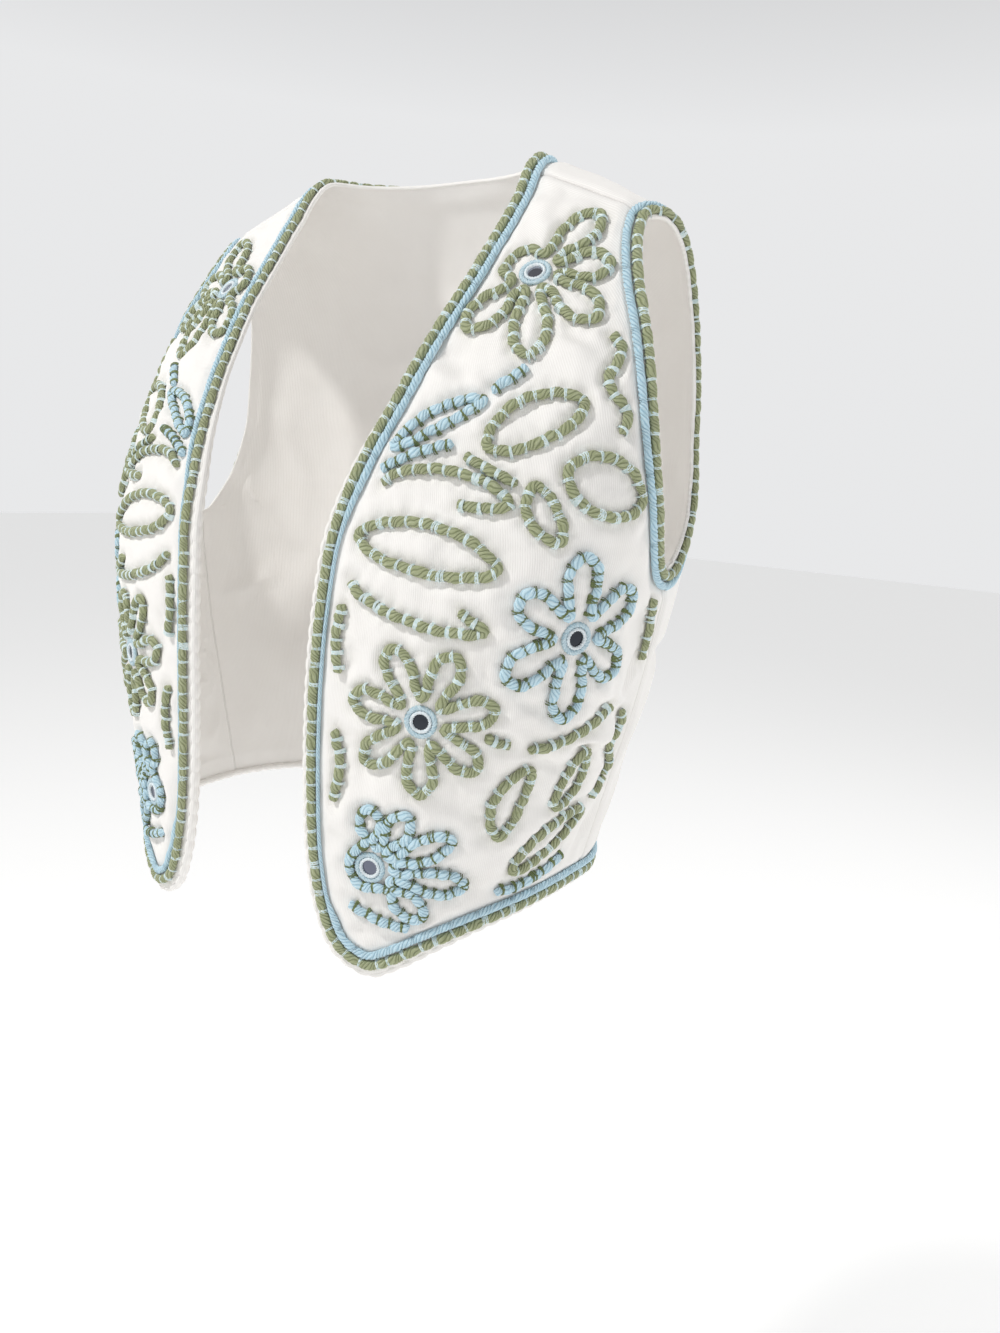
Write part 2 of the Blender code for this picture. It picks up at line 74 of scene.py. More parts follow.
PUFF_RUN = 4.2          # how far from a cord it gets there
PUFF_START = 2.8
TUG = 1.1               # how far the cloth swells between two stitches, and sinks beside each one
TUG_START = 2.6
TUG_RUN = 4.6
TUG_WIDTH = 2.4
CORD_HELD = 0.25        # how far the cloth may stand up right beside a cord
CORD_CLIMB = 2.2        # and how much more for each millimetre away from it
BROAD_LUMPS, BROAD_SIZE = 3.2, 34   # height and size of the cloth's broad unevenness
SMALL_LUMPS, SMALL_SIZE = 1.9, 13
CREASE_SCALE = 1.5
SEAM_HELD = 15.0        # within this distance a seam keeps the cloth even
SEAM_WELT, SEAM_WELT_AT = 0.6, 5.0  # height of the low welt beside a seam, and where it is
SEAM_SUNK = 1.1         # depth of the seam itself
INNER_FOLLOWS = 0.45    # share of the outer face's swell that the inner face follows
UV_RADIUS = 0.19        # metres of cloth for each radian round the body
MIRROR_RADIUS = 6.0
MIRROR_THICK = 0.9
MIRROR_DOME = 0.25
MIRROR_LIFT = 0.3
# middle radius, width, height and number of stitches of a ring round a mirror
BLUE_RING = (8.5, 3.5, 2.5, 27)
WHITE_RING = (5.8, 2.3, 2.8, 19)
NO_STITCH = 9.0         # stands for a place that no stitch is near

# Level cuts through the worn garment. The middle of a cut lies at depth centre, and each half of it
# is a rounded rectangle: power 2 is an ellipse, and a higher power has squarer corners.
# height, half_width, centre, front_depth, back_depth, front_power, back_power
SECTIONS = (
    (24, 48, 18, 14, 36, 2.0, 2.0),
    (10, 90, 18, 22, 43.5, 2.0, 2.0),
    (0, 116, 18, 28, 49, 2.0, 2.0),
    (-20, 164, 16, 34, 61.5, 2.0, 2.0),
    (-38, 192, 12, 42, 74, 2.0, 2.1),
    (-65, 205, 6, 56, 90, 2.1, 2.2),
    (-100, 214, 2, 77, 103, 2.3, 2.2),
    (-150, 220, 0, 105, 110, 2.5, 2.2),
    (-200, 221, 0, 129, 110, 2.7, 2.3),
    (-250, 216, 0, 143, 107, 2.9, 2.3),
    (-330, 203, 0, 147, 100, 3.0, 2.3),
    (-400, 186, 0, 146, 96, 3.1, 2.3),
    (-460, 172, 0, 145, 96, 3.1, 2.3),
    (-540, 160, 0, 143, 96, 3.1, 2.3),
)

# Soft folds of the back, which hangs free below the shoulder blades.
# angle, half_angle, top, bottom, swell
FOLDS = (
    (128, 17, -250, -500, 2.6),
    (180, 26, -290, -520, 2.2),
    (-128, 17, -250, -500, 2.6),
)

# Cut edges of the left half; the right half is its mirror image.
# height, across
FRONT_EDGE = (
    (0, 88), (-14, 90), (-37, 90), (-60, 88), (-85, 86), (-118, 80), (-154, 74), (-186, 67),
    (-217, 61), (-265, 56), (-329, 53), (-395, 53), (-440, 56), (-475, 64), (-498, 76),
)
# angle, height
FRONT_HEM = ((37, -509), (43, -501), (50, -488), (60, -475), (72, -469), (90, -468))
BACK_HEM = ((90, -468), (120, -466), (150, -463), (180, -462))
# depth, height
ARMHOLE_FRONT = (
    (0, -245), (-8, -242), (-16, -230), (-24, -210), (-31, -180), (-33, -146), (-29, -110),
    (-22, -80), (-10, -53), (0, -38),
)
ARMHOLE_BACK = (
    (0, -245), (8, -242), (18, -231), (31, -208), (40, -172), (41, -135), (39, -100), (34, -72),
    (25, -49), (13, -38.5), (0, -38),
)
# across, depth, height
BACK_NECK = ((88, 0, 0), (86, 18, 10), (74, 36, 13), (42, 53, 15), (0, 59, 16))

# Flowers of one looped cord each. Angles are on the cloth, from the wearer's left, going up.
# name, colour, angle, height, spread, first, half_width, closing radius, reach of each petal
FLOWERS = (
    ("flower_1", "green", 69.3, -76, 232, -150, 9.6, 20.5, (54, 62, 54, 45, 56)),
    ("flower_2", "blue", 68, -285, 360, 30, 9.6, 0, (50, 48, 45, 49, 50, 46)),
    ("flower_3", "green", 44.5, -339, 360, 14, 7.6, 0, (45, 45, 46, 45, 45, 45, 44)),
    ("flower_4", "blue", 36.4, -436, 165, -58, 6.8, 13.8, (46, 65, 57, 44, 38)),
)
# Leaves of one closed loop of cord each.
# name, colour, base_angle, base_height, tip_angle, tip_height, half_width, bow
LEAVES = (
    ("leaf_1", "blue", 37.5, -184, 55, -155, 6.0, 3),
    ("leaf_2", "green", 54.5, -181, 69.5, -153, 14.0, 3),
    ("leaf_3", "green", 65.5, -192, 77.6, -206, 16.5, 0),
    ("leaf_4", "green", 60.6, -201, 64.0, -230, 8.4, -3),
    ("leaf_6", "green", 31, -236, 55, -248, 13.4, 2),
    ("leaf_8", "green", 59.5, -410, 63.5, -366, 9.0, 4),
    ("leaf_9", "green", 64, -436, 81, -405, 9.0, 3),
    ("leaf_10", "green", 71.5, -396, 76, -360, 8.6, -2),
)
# Leaves whose second side stops on its way back from the tip.
# name, colour, base_angle, base_height, tip_angle, tip_height, half_width, second half_width, bow,
# end of the second side
OPEN_LEAVES = (
    ("leaf_5", "green", 35, -206, 57, -212, 13.0, 7.0, 0, 0.62),
    ("leaf_7", "green", 29.5, -262, 53.5, -283, -9.0, -9.0, 0, 0.80),
)
# Stems: a bow or a wave of cord between two places.
# name, colour, start_angle, start_height, end_angle, end_height, bow, swing, waves
STEMS = (
    ("stem_1", "green", 62.5, -353, 80.5, -331, -4, 0, 0),
    ("stem_2", "green", 75.4, -112, 74.0, -168, 0, 5, 1.5),
    ("stem_3", "green", 85, -338, 86, -384, 0, 4, 1.5),
)

# Short cords that are modelled here only, in the same form.
# name, colour, start_angle, start_height, end_angle, end_height, bow, swing, waves
SMALL_STEMS = (
    ("stem_4", "green", 55, -344, 59.5, -350, -1, 0, 0),
    ("stem_5", "green", 27.5, -352, 27.5, -398, 0, 5, 0.5),
    ("stem_6", "green", 28.4, -276, 28, -318, 0, -3, 0.5),
    ("stem_7", "blue", 56.5, -150, 63, -134, 0, 0, 0),
    ("stem_8", "blue", 34.5, -198, 49, -180.5, 0, 2, 0.5),
    ("stem_9", "blue", 32.2, -462, 45, -473.2, 0, -2.5, 0.5),
    ("stem_10", "blue", 61, -450, 79, -436, 0, -3, 0.5),
    ("stem_11", "green", 50.5, -187, 58.2, -201, 0, 0, 0),
    ("stem_12", "green", 86.2, -264, 87.2, -305, 0, 2, 0.5),
    ("stem_13", "green", 84, -400, 87, -385, 0, 0, 0),
)
# Creases of the cloth: a positive depth is a trough, a negative one a ridge.
# angle, height, lean, length, width, depth
FRONT_CREASES = (
    (77, -351, -12, 58, 4.5, -2.0), (77.5, -360, -10, 50, 4.0, 2.8), (69, -366, -18, 38, 4.0, 2.2),
    (70, -247, -8, 28, 3.5, 1.6), (54, -308, -78, 26, 3.5, 1.8), (85, -312, 72, 46, 4.5, 2.6),
    (80, -327, -20, 56, 4.5, -1.4), (81, -336, -17, 48, 4.0, 2.2), (82, -398, 4, 32, 4.0, 2.2),
    (48, -124, -34, 66, 7.0, 2.6), (46, -139, -30, 50, 6.0, -1.8), (71, -116, -27, 38, 5.0, 2.0),
    (49, -204, -38, 30, 4.0, 1.4), (57, -272, -68, 36, 4.0, 1.8), (41, -481, 3, 54, 4.5, 2.2),
    (79, -168, 80, 46, 4.5, 2.0), (63, -327, -20, 30, 4.0, 2.0), (56, -402, -64, 44, 4.5, 2.0),
    (30, -313, 78, 36, 3.5, 1.6), (86, -420, 64, 62, 6.0, 2.8), (86, -255, -52, 58, 5.5, 2.6),
    (36, -440, -32, 40, 4.5, 1.8),
)
BACK_CREASES = (
    (104, -230, -52, 120, 8.0, 5.0), (112, -190, -64, 100, 8.0, 3.8), (100, -300, 20, 70, 7.0, 4.0),
    (122, -360, 82, 170, 13.0, 6.4), (138, -410, 95, 120, 10.0, 5.0), (153, -370, 87, 190, 15.0, 6.0),
    (169, -420, 91, 110, 11.0, 5.2), (184, -385, 94, 165, 14.0, 5.6), (-163, -415, 85, 125, 11.0, 4.8),
    (-147, -375, 92, 180, 14.0, 6.2), (-129, -405, 99, 120, 10.0, 5.0), (-115, -350, 84, 120, 11.0, 4.6),
    (-104, -235, 54, 115, 8.0, 4.6), (-113, -196, 66, 96, 8.0, 3.8), (-101, -310, -24, 66, 7.0, 3.8),
    (150, -100, 14, 120, 10.0, 4.2), (-147, -108, -12, 112, 10.0, 3.8), (180, -66, 2, 120, 9.0, 3.4),
    (140, -172, 34, 100, 11.0, 3.6), (-138, -180, -30, 96, 11.0, 3.6), (172, -215, 66, 110, 13.0, 3.4),
    (-158, -255, -72, 100, 12.0, 3.2),
)

MEAN_RADIUS = 180.0
WAVE_UNIT = 0.3142      # the scale at which the wave texture repeats once in a metre


def monotone_curve(keys, values, at):
    order = np.argsort(keys)
    k = np.asarray(keys, float)[order]
    v = np.asarray(values, float)[order]
    slope = np.diff(v) / np.diff(k)
    tangent = np.concatenate(([slope[0]], np.zeros(len(k) - 2), [slope[-1]]))
    for i in range(1, len(k) - 1):
        before, after = slope[i - 1], slope[i]
        if before * after > 0.0:
            wide, near = k[i + 1] - k[i], k[i] - k[i - 1]
            share = (2 * wide + near) / before + (wide + 2 * near) / after
            tangent[i] = 3.0 * (wide + near) / share
    i = np.clip(np.searchsorted(k, at, side="right") - 1, 0, len(k) - 2)
    h = k[i + 1] - k[i]
    s = (at - k[i]) / h
    return (v[i] * (1 + 2 * s) * (1 - s) ** 2 + tangent[i] * h * s * (1 - s) ** 2
            + v[i + 1] * s * s * (3 - 2 * s) + tangent[i + 1] * h * s * s * (s - 1))


LEVELS = np.arange(-540.0, 24.01, 0.5)
HEIGHTS = [row[0] for row in SECTIONS]
SIZES = [monotone_curve(HEIGHTS, [row[c] for row in SECTIONS], LEVELS) for c in range(1, 7)]


def section(z):
    return [np.interp(z, LEVELS, size) for size in SIZES]


def fold(x, y, z):
    swell = 0.0 * x
    angle = np.degrees(np.arctan2(x, -y))
    for middle, half, top, bottom, height in FOLDS:
        away = np.abs((angle - middle + 180.0) % 360.0 - 180.0) / half
        down = np.clip((top - z) / (top - bottom), 0.0, 1.0)
        swell = swell + height * np.cos(np.clip(away, 0, 1) * math.pi / 2) ** 2 * down ** 1.3
    return swell


def outside(p):
    x, y, z = p[:, 0], p[:, 1], p[:, 2]
    a, centre, front, back, front_power, back_power = section(z)
    v = y - centre
    depth = np.where(v < 0, front, back)
    power = np.where(v < 0, front_power, back_power)
    level = ((np.abs(x) / a) ** power + (np.abs(v) / depth) ** power) ** (1 / power)
    return (level - 1) * MEAN_RADIUS - fold(x, y, z)


def gradient(p, step=0.4):
    slope = np.zeros_like(p)
    for axis in range(3):
        move = np.zeros(3)
        move[axis] = step
        slope[:, axis] = (outside(p + move) - outside(p - move)) / (2 * step)
    return slope


def on_cloth(points, steps=7):
    # Moves points straight onto the outer face of the cloth and gives its outward direction there.
    p = np.array(points, float).reshape(-1, 3)
    for _ in range(steps):
        slope = gradient(p)
        p = p - (outside(p) / np.maximum((slope * slope).sum(1), 1e-9))[:, None] * slope
    slope = gradient(p)
    return p, slope / np.linalg.norm(slope, axis=1)[:, None]


def by_angle(angle, z):
    turn = math.radians(angle)
    a, centre, front, back, front_power, back_power = section(float(z))
    s, c = abs(math.sin(turn)), math.cos(turn)
    depth, power = (front, front_power) if c >= 0 else (back, back_power)
    r = 1 / ((s / a) ** power + (abs(c) / depth) ** power) ** (1 / power)
    return np.array((r * math.sin(turn), centre - r * c, z))


def by_front(x, z):
    a, centre, front, _, front_power, _ = section(float(z))
    left = max(0.0, 1 - (abs(x) / a) ** front_power)
    return np.array((x, centre - front * left ** (1 / front_power), z))


def by_side(y, z):
    a, centre, front, back, front_power, back_power = section(float(z))
    v = y - centre
    depth, power = (front, front_power) if v < 0 else (back, back_power)
    left = max(0.0, 1 - (abs(v) / depth) ** power)
    return np.array((a * left ** (1 / power), y, z))


def even(p, count, closed=False):
    run = np.concatenate(([0.0], np.cumsum(np.linalg.norm(np.diff(p, axis=0), axis=1))))
    at = np.linspace(0, run[-1], count + 1)[:-1] if closed else np.linspace(0, run[-1], count)
    return np.stack([np.interp(at, run, p[:, c]) for c in range(3)], -1)


def smooth_path(points, count, closed=False):
    # A smooth curve through the points, with its stations at equal distances.
    p = np.asarray(points, float)
    if closed:
        q = np.vstack([p[-1], p, p[0], p[1]])
    else:
        q = np.vstack([2 * p[0] - p[1], p, 2 * p[-1] - p[-2]])
    out = []
    for i in range(1, len(q) - 2):
        k = [0.0]
        for j in range(i - 1, i + 2):
            k.append(k[-1] + max(np.linalg.norm(q[j + 1] - q[j]), 1e-6) ** 0.5)
        t = np.linspace(k[1], k[2], 20, endpoint=False)[:, None]
        a1 = (k[1] - t) / (k[1] - k[0]) * q[i - 1] + (t - k[0]) / (k[1] - k[0]) * q[i]
        a2 = (k[2] - t) / (k[2] - k[1]) * q[i] + (t - k[1]) / (k[2] - k[1]) * q[i + 1]
        a3 = (k[3] - t) / (k[3] - k[2]) * q[i + 1] + (t - k[2]) / (k[3] - k[2]) * q[i + 2]
        b1 = (k[2] - t) / (k[2] - k[0]) * a1 + (t - k[0]) / (k[2] - k[0]) * a2
        b2 = (k[3] - t) / (k[3] - k[1]) * a2 + (t - k[1]) / (k[3] - k[1]) * a3
        out.append((k[2] - t) / (k[2] - k[1]) * b1 + (t - k[1]) / (k[2] - k[1]) * b2)
    out = np.vstack(out + [p[:1] if closed else p[-1:]])
    return even(out, count, closed)


def front_rim():
    # The front's free edge from the neck point down, round the point and along the hem.
    edge = [by_front(x, z) for z, x in FRONT_EDGE]
    hem = [by_angle(angle, z) for angle, z in FRONT_HEM]
    corner = 0.5 * (edge[-1] + hem[0])
    path = on_cloth(smooth_path(edge + hem, 600))[0]
    split = int(np.argmin(np.linalg.norm(path - corner, axis=1)))
    return path[: split + 1], path[split:]


def armhole(rows, count, gap):
    # One half of the armhole's edge, from the side seam up to the shoulder seam.
    path = smooth_path([by_side(y, z) for y, z in rows], 300)
    path[:, 1] += gap
    return even(on_cloth(path)[0], count)


def shoulder(count, gap):
    share = np.linspace(0, 1, count)[:, None]
    line = np.array((88.0, gap, 0.0)) * (1 - share) + np.array((184.0, gap, -38.0)) * share
    return on_cloth(line)[0]


def side_seam(count, gap):
    heights = np.linspace(FRONT_HEM[-1][1], ARMHOLE_FRONT[0][1], count)
    return on_cloth([by_side(gap, z) for z in heights])[0]


def patch(left, right, bottom, top):
    # A surface through four edges: left and right run up, bottom and top run from left to right.
    columns, rows = len(bottom), len(left)
    u = np.linspace(0, 1, columns)[:, None, None]
    v = np.linspace(0, 1, rows)[None, :, None]
    across = (1 - u) * left[None] + u * right[None]
    up = (1 - v) * bottom[:, None] + v * top[:, None]
    corners = ((1 - u) * (1 - v) * left[0] + u * (1 - v) * right[0]
               + (1 - u) * v * left[-1] + u * v * right[-1])
    points, normals = on_cloth((across + up - corners).reshape(-1, 3))
    return points.reshape(columns, rows, 3), normals.reshape(columns, rows, 3)


def tangents(angle, z):
    # The cloth's own directions at a place: towards the wearer's side, and up.
    place, out = on_cloth([by_angle(angle, z)])
    place, out = place[0], out[0]
    up = np.array((0.0, 0.0, 1.0)) - out * out[2]
    up /= np.linalg.norm(up)
    return place, np.cross(up, out), up


def flower_path(angle, z, spread, first, half_width, closing, reaches, count):
    # One cord loops out and back for each petal, and turns close to the mirror between two petals.
    place, aside, up = tangents(angle, z)
    petals = len(reaches)
    step = spread / petals
    inner = max(14.6, (CORD_WIDTH + 0.9) / (2 * math.sin(math.radians(step) / 2)) * 0.96)
    stations = []
    for petal in range(petals):
        lean = first + (petal + 0.5) * step if spread < 360 else first + petal * step
        long = reaches[petal]
        half_step = math.radians(step / 2)
        valley = (inner * math.cos(half_step), inner * math.sin(half_step))
        pinch = inner + 5.0
        room = pinch * math.tan(half_step) - (CORD_WIDTH + 0.8) / 2
        shape = [
            (pinch, min(room, half_width)),
            (inner + 0.45 * (long - inner), min(half_width, 0.93 * half_width + 1)),
            (inner + 0.80 * (long - inner), half_width * 0.90),
            (long, 0.0),
        ]
        local = [(valley[0], -valley[1])] + [(a, -b) for a, b in shape[:3]] + [shape[3]]
        local += [(a, b) for a, b in reversed(shape[:3])]
        if spread < 360 and petal == petals - 1:
            local.append(valley)
        c, s = math.cos(math.radians(lean)), math.sin(math.radians(lean))
        stations += [(a * c - b * s, a * s + b * c) for a, b in local]
    if spread < 360:
        start, rest = first + spread, 360 - spread
        for share in (0.25, 0.5, 0.75):
            turn = math.radians(start + rest * share)
            stations.append((closing * math.cos(turn), closing * math.sin(turn)))
    flat = np.array([place + a * aside + b * up for a, b in stations])
    return smooth_path(flat, count, closed=True)


def between(start, end):
    # Two places on the cloth, the way along and across between them, and how far the cloth bulges.
    start = on_cloth([by_angle(*start)])[0][0]
    end = on_cloth([by_angle(*end)])[0][0]
    middle, out = on_cloth([(start + end) / 2])
    along = end - start
    across = np.cross(out[0], along)
    across /= np.linalg.norm(across)
    bulge = out[0] * np.linalg.norm(middle[0] - (start + end) / 2)
    return start, along, across, bulge


LEAF_SHAPE = ((0.0, 0.0), (0.12, 0.62), (0.45, 1.0), (0.82, 0.70), (1.0, 0.0))


def leaf_path(base, tip, half_width, bow, count, second=None, stop=0.0):
    # One side out to the tip and the other side back, all the way or only part of it.
    start, along, across, bulge = between(base, tip)
    outline = [(share, wide * half_width) for share, wide in LEAF_SHAPE]
    back = [(share, -wide * (second or half_width)) for share, wide in LEAF_SHAPE[3:0:-1]]
    if stop:
        wide = np.interp(stop, [share for share, _ in LEAF_SHAPE], [wide for _, wide in LEAF_SHAPE])
        back = [row for row in back if row[0] > stop + 0.08] + [(stop, -wide * second)]
    stations = []
    for share, aside in outline + back:
        arch = 4 * share * (1 - share)
        stations.append(start + along * share + across * (aside + bow * arch) + bulge * arch)
    return smooth_path(stations, count, closed=not stop)


def stem_path(start, end, bow, swing, waves, step):
    start, along, across, bulge = between(start, end)
    share = np.linspace(0, 1, 25)[:, None]
    arch = 4 * share * (1 - share)
    aside = bow * arch + swing * np.sin(2 * math.pi * waves * share)
    points = on_cloth(start + along * share + across * aside + bulge * arch)[0]
    length = np.linalg.norm(np.diff(points, axis=0), axis=1).sum()
    return even(points, max(4, int(length / step) + 1))


def edge_lines(path, inward_by):
    # Lines beside a closed edge, moved over the cloth away from the opening and smoothed.
    points, normals = on_cloth(even(path, 1800, closed=True))
    along = np.roll(points, -6, axis=0) - np.roll(points, 6, axis=0)
    inward = np.cross(normals, along)
    inward /= np.linalg.norm(inward, axis=1)[:, None]
    lines = []
    for inset in inward_by:
        line = on_cloth(points + inward * inset)[0]
        for _ in range(56):
            line = (np.roll(line, 1, axis=0) + 2 * line + np.roll(line, -1, axis=0)) / 4
        lines.append(line)
    return points, inward, lines


def smooth_step(low, high, at):
    t = np.clip((at - low) / (high - low), 0.0, 1.0)
    return t * t * (3 - 2 * t)


def mirror_side(points, side):
    return points * np.array((side, 1.0, 1.0))


# Meshes


def bent_grid(columns, rows, place, uv, wrap=(False, False), drop=None):
    # A flat grid made by Blender's operator, whose vertices are then put where place(i, j) says.
    mesh = bmesh.new()
    bmesh.ops.create_grid(mesh, x_segments=columns, y_segments=rows, size=1.0)
    if drop:
        loose = [face for face in mesh.faces
                 if drop(int((face.calc_center_median().x + 1) / 2 * columns))]
        bmesh.ops.delete(mesh, geom=loose, context="FACES")
    layer = mesh.loops.layers.uv.new("cloth")
    for face in mesh.faces:
        for corner in face.loops:
            x, y, _ = corner.vert.co
            corner[layer].uv = uv((x + 1) / 2 * columns, (y + 1) / 2 * rows)
    flat = np.array([vertex.co for vertex in mesh.verts])
    i = np.rint((flat[:, 0] + 1) / 2 * columns).astype(int)
    j = np.rint((flat[:, 1] + 1) / 2 * rows).astype(int)
    if wrap[0]:
        i %= columns
    if wrap[1]:
        j %= rows
    for vertex, spot in zip(mesh.verts, place(i, j) * MM):
        vertex.co = spot
    if wrap[0] or wrap[1]:
        bmesh.ops.remove_doubles(mesh, verts=mesh.verts[:], dist=1e-7)
    return mesh


def finish(name, mesh, look, node=None, closed=True):
    if closed:
        bmesh.ops.recalc_face_normals(mesh, faces=mesh.faces[:])
        if mesh.calc_volume(signed=True) < 0:
            bmesh.ops.reverse_faces(mesh, faces=mesh.faces[:])
    data = bpy.data.meshes.new(name)
    mesh.to_mesh(data)
    mesh.free()
    data.materials.append(look)
    data.shade_smooth()
    piece = bpy.data.objects.new(name, data)
    bpy.context.scene.collection.objects.link(piece)
    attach(piece, "root")
    if node:
        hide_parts(node)
    return piece


# Cords


def frames(points, normals, closed):
    if closed:
        ahead, behind = np.roll(points, -1, axis=0), np.roll(points, 1, axis=0)
    else:
        ahead = np.vstack([points[1:], points[-1:]])
        behind = np.vstack([points[:1], points[:-1]])
    along = ahead - behind
    along /= np.linalg.norm(along, axis=1)[:, None]
    across = np.cross(normals, along)
    across /= np.linalg.norm(across, axis=1)[:, None]
    return along, across


def length_of(points, closed):
    ring = np.vstack([points, points[:1]]) if closed else points
    return float(np.linalg.norm(np.diff(ring, axis=0), axis=1).sum())


def stitch_places(length, every, closed, dice):
    # Uneven distances along the cord, with a second stitch close to the first one here and there.
    count = max(2, round(length / every))
    places = []
    for k in range(count):
        place = (k + 0.5 + dice.uniform(-0.16, 0.16)) * length / count
        places.append(place)
        if dice.random() < 0.14:
            places.append(place + dice.choice((-1, 1)) * 2.1)
    return [place for place in places if closed or 1.5 < place < length - 1.5]


def line_width(width, top, strands=5):
    # Distance round a cord between two of the lines that run along its strands.
    return math.pi * (width + top) / 2 / (strands * LINES_A_STRAND) * MM


def ripple(share, length, size, shift, steady=False):
    # A wave along a cord whose crests are about that many millimetres apart.
    count = round(length / size)
    return np.sin(2 * math.pi * share * (count if steady else max(1, count)) + shift)


def twisted_cord(name, path, width, top, side, look, closed, dice, every=STITCH_EVERY,
                 twist=TWIST, strands=5, groove=0.17, pinch=0.26, node=None, widths=None):
    # Strands laid round each other, pinched under every stitch and swelling between two stitches.
    # The lines of the mesh follow the strands, so each groove is one clean line.
    length = length_of(path, closed)
    count = int(length / CORD_STEP)
    sides = strands * LINES_A_STRAND
    share = np.arange(count) / count if closed else np.linspace(0, 1, count)
    run = share * length
    points = even(path, count, closed)
    points, normals = on_cloth(points, steps=3)
    along, across = frames(points, normals, closed)
    sway = [dice.uniform(0, 2 * math.pi) for _ in range(4)]
    off = 0.28 * ripple(share, length, 14, sway[0]) + 0.22 * ripple(share, length, 31, sway[1])
    if node is None or not node.startswith(("edge", "armhole")):
        points = points + across * off[:, None]
    places = stitch_places(length, every, closed, dice) if every else []
    gap = np.full(count, 99.0)
    for place in places:
        away = np.abs(run - place)
        if closed:
            away = np.minimum(away, length - away)
        gap = np.minimum(gap, away)
    turns = max(1, round(length / twist)) if closed else length / twist
    turns *= -side
    lay = turns * share + 0.09 * ripple(share, length, 21, sway[2])
    lay = lay + 0.05 * ripple(share, length, 8.3, sway[3])
    wobble = (0.025 * ripple(share, length, 23, sway[2], True)
              + 0.02 * ripple(share, length, 41, sway[3], True))
    swell = 1.04 + wobble - pinch * np.exp(-((gap / PINCHED) ** 2))
    if widths is not None:
        swell = swell * np.interp(share, np.linspace(0, 1, len(widths)), widths)
    if not closed:
        from_end = np.minimum(run, length - run)
        swell = swell * np.sqrt(1 - (1 - np.clip(from_end / TIP_LENGTH, 0.0, 1.0)) ** 2) + 1e-4
    half_top = (top - CORD_LIFT) / 2

    def place(i, j):
        lap = 2 * math.pi * (j / sides + lay[i])
        round_it = 1 - groove * (j % LINES_A_STRAND == 0)
        across_by = width / 2 * swell[i] * round_it * np.cos(lap)
        middle = CORD_LIFT + half_top * (np.minimum(1, 0.2 + swell[i]) if closed else swell[i])
        rise = middle + half_top * swell[i] * round_it * np.sin(lap)
        return mirror_side(points[i] + across[i] * across_by[:, None]
                           + normals[i] * np.maximum(0.1, rise)[:, None], side)

    steps = count if closed else count - 1
    line = line_width(width, top, strands)
    step = length / steps * MM
    mesh = bent_grid(steps, sides, place, lambda i, j: (i * step, j * line), (closed, True))
    piece = finish(name, mesh, look, node)
    frames_at = (run, points, normals, along, across, swell, length, closed)
    return piece, [stitch_at(frames_at, spot, width, top) for spot in places], points, gap


def stitch_at(frames_at, spot, width, top):
    run, points, normals, along, across, swell, length, closed = frames_at
    spot = spot % length if closed else spot
    k = int(np.clip(np.searchsorted(run, spot), 0, len(run) - 1))
    return points[k], normals[k], along[k], across[k], width * swell[k], top * swell[k]


def stitches(name, rows, side, look, dice, half=1.1, cross=False):
    # One band of a few threads over the cord for each row, with its ends sunk into the cloth. The
    # threads lie side by side and spread a little, and each band leans its own way or is crossed by
    # a second one.
    if cross:
        rows = [row for row in rows for _ in range(2)]
    count = len(rows)
    base, normal, along, across = (np.array([row[c] for row in rows]) for c in range(4))
    wide = np.array([row[4] for row in rows]) / 2 + 0.5
    tall = np.array([row[5] for row in rows]) + 0.3
    slant = np.array([dice.uniform(-0.8, 0.8) for _ in rows])
    if cross:
        slant = 0.5 * slant + np.where(np.arange(count) % 2, 0.75, -0.75)
    spread = np.array([dice.uniform(-0.2, 0.8) for _ in rows])
    half = np.array([half * dice.uniform(0.7, 1.35) for _ in rows])
    columns = BAND_STEPS + 1
    band_sides = 2 * BAND_THREADS

    def place(i, j):
        k, step = np.minimum(i // columns, count - 1), i % columns
        angle = math.pi * (step / BAND_STEPS * 1.10 - 0.05)
        level = np.cos(angle)
        ridge = THREAD_PROUD * (j % 2)
        t = j / band_sides * 2 - 1
        x = wide[k] * np.sign(level) * np.abs(level) ** 0.8 * (1 + ridge / np.maximum(1.0, wide[k]))
        y = (tall[k] + ridge) * np.sin(angle)
        fan = 1 + spread[k] * level * np.abs(level)
        spot = (base[k] + across[k] * x[:, None] + normal[k] * y[:, None]
                + along[k] * (t * half[k] * fan + slant[k] * level)[:, None])
        return mirror_side(spot, side)

    mesh = bent_grid(count * columns - 1, band_sides, place, lambda i, j: (j * 0.0009, i * 0.001),
                     drop=lambda i: i % columns == columns - 1)
    if side < 0:
        bmesh.ops.reverse_faces(mesh, faces=mesh.faces[:])
    return finish(name, mesh, look, closed=False)


# Cloth


def nearest_of(samples):
    tree = kdtree.KDTree(len(samples))
    for k, sample in enumerate(samples):
        tree.insert(sample, k)
    tree.balance()
    return tree


def waves(points, size, seed, stretch=1.0):
    # Soft uneven ground, from -1 to 1, with lumps of that size in millimetres.
    shift = Vector((seed * 17.3, seed * 5.1, seed * 9.7))
    scale = Vector((1 / size, 1 / size, 1 / (size * stretch)))
    return np.array([noise.noise(Vector(p) * scale + shift) for p in points])


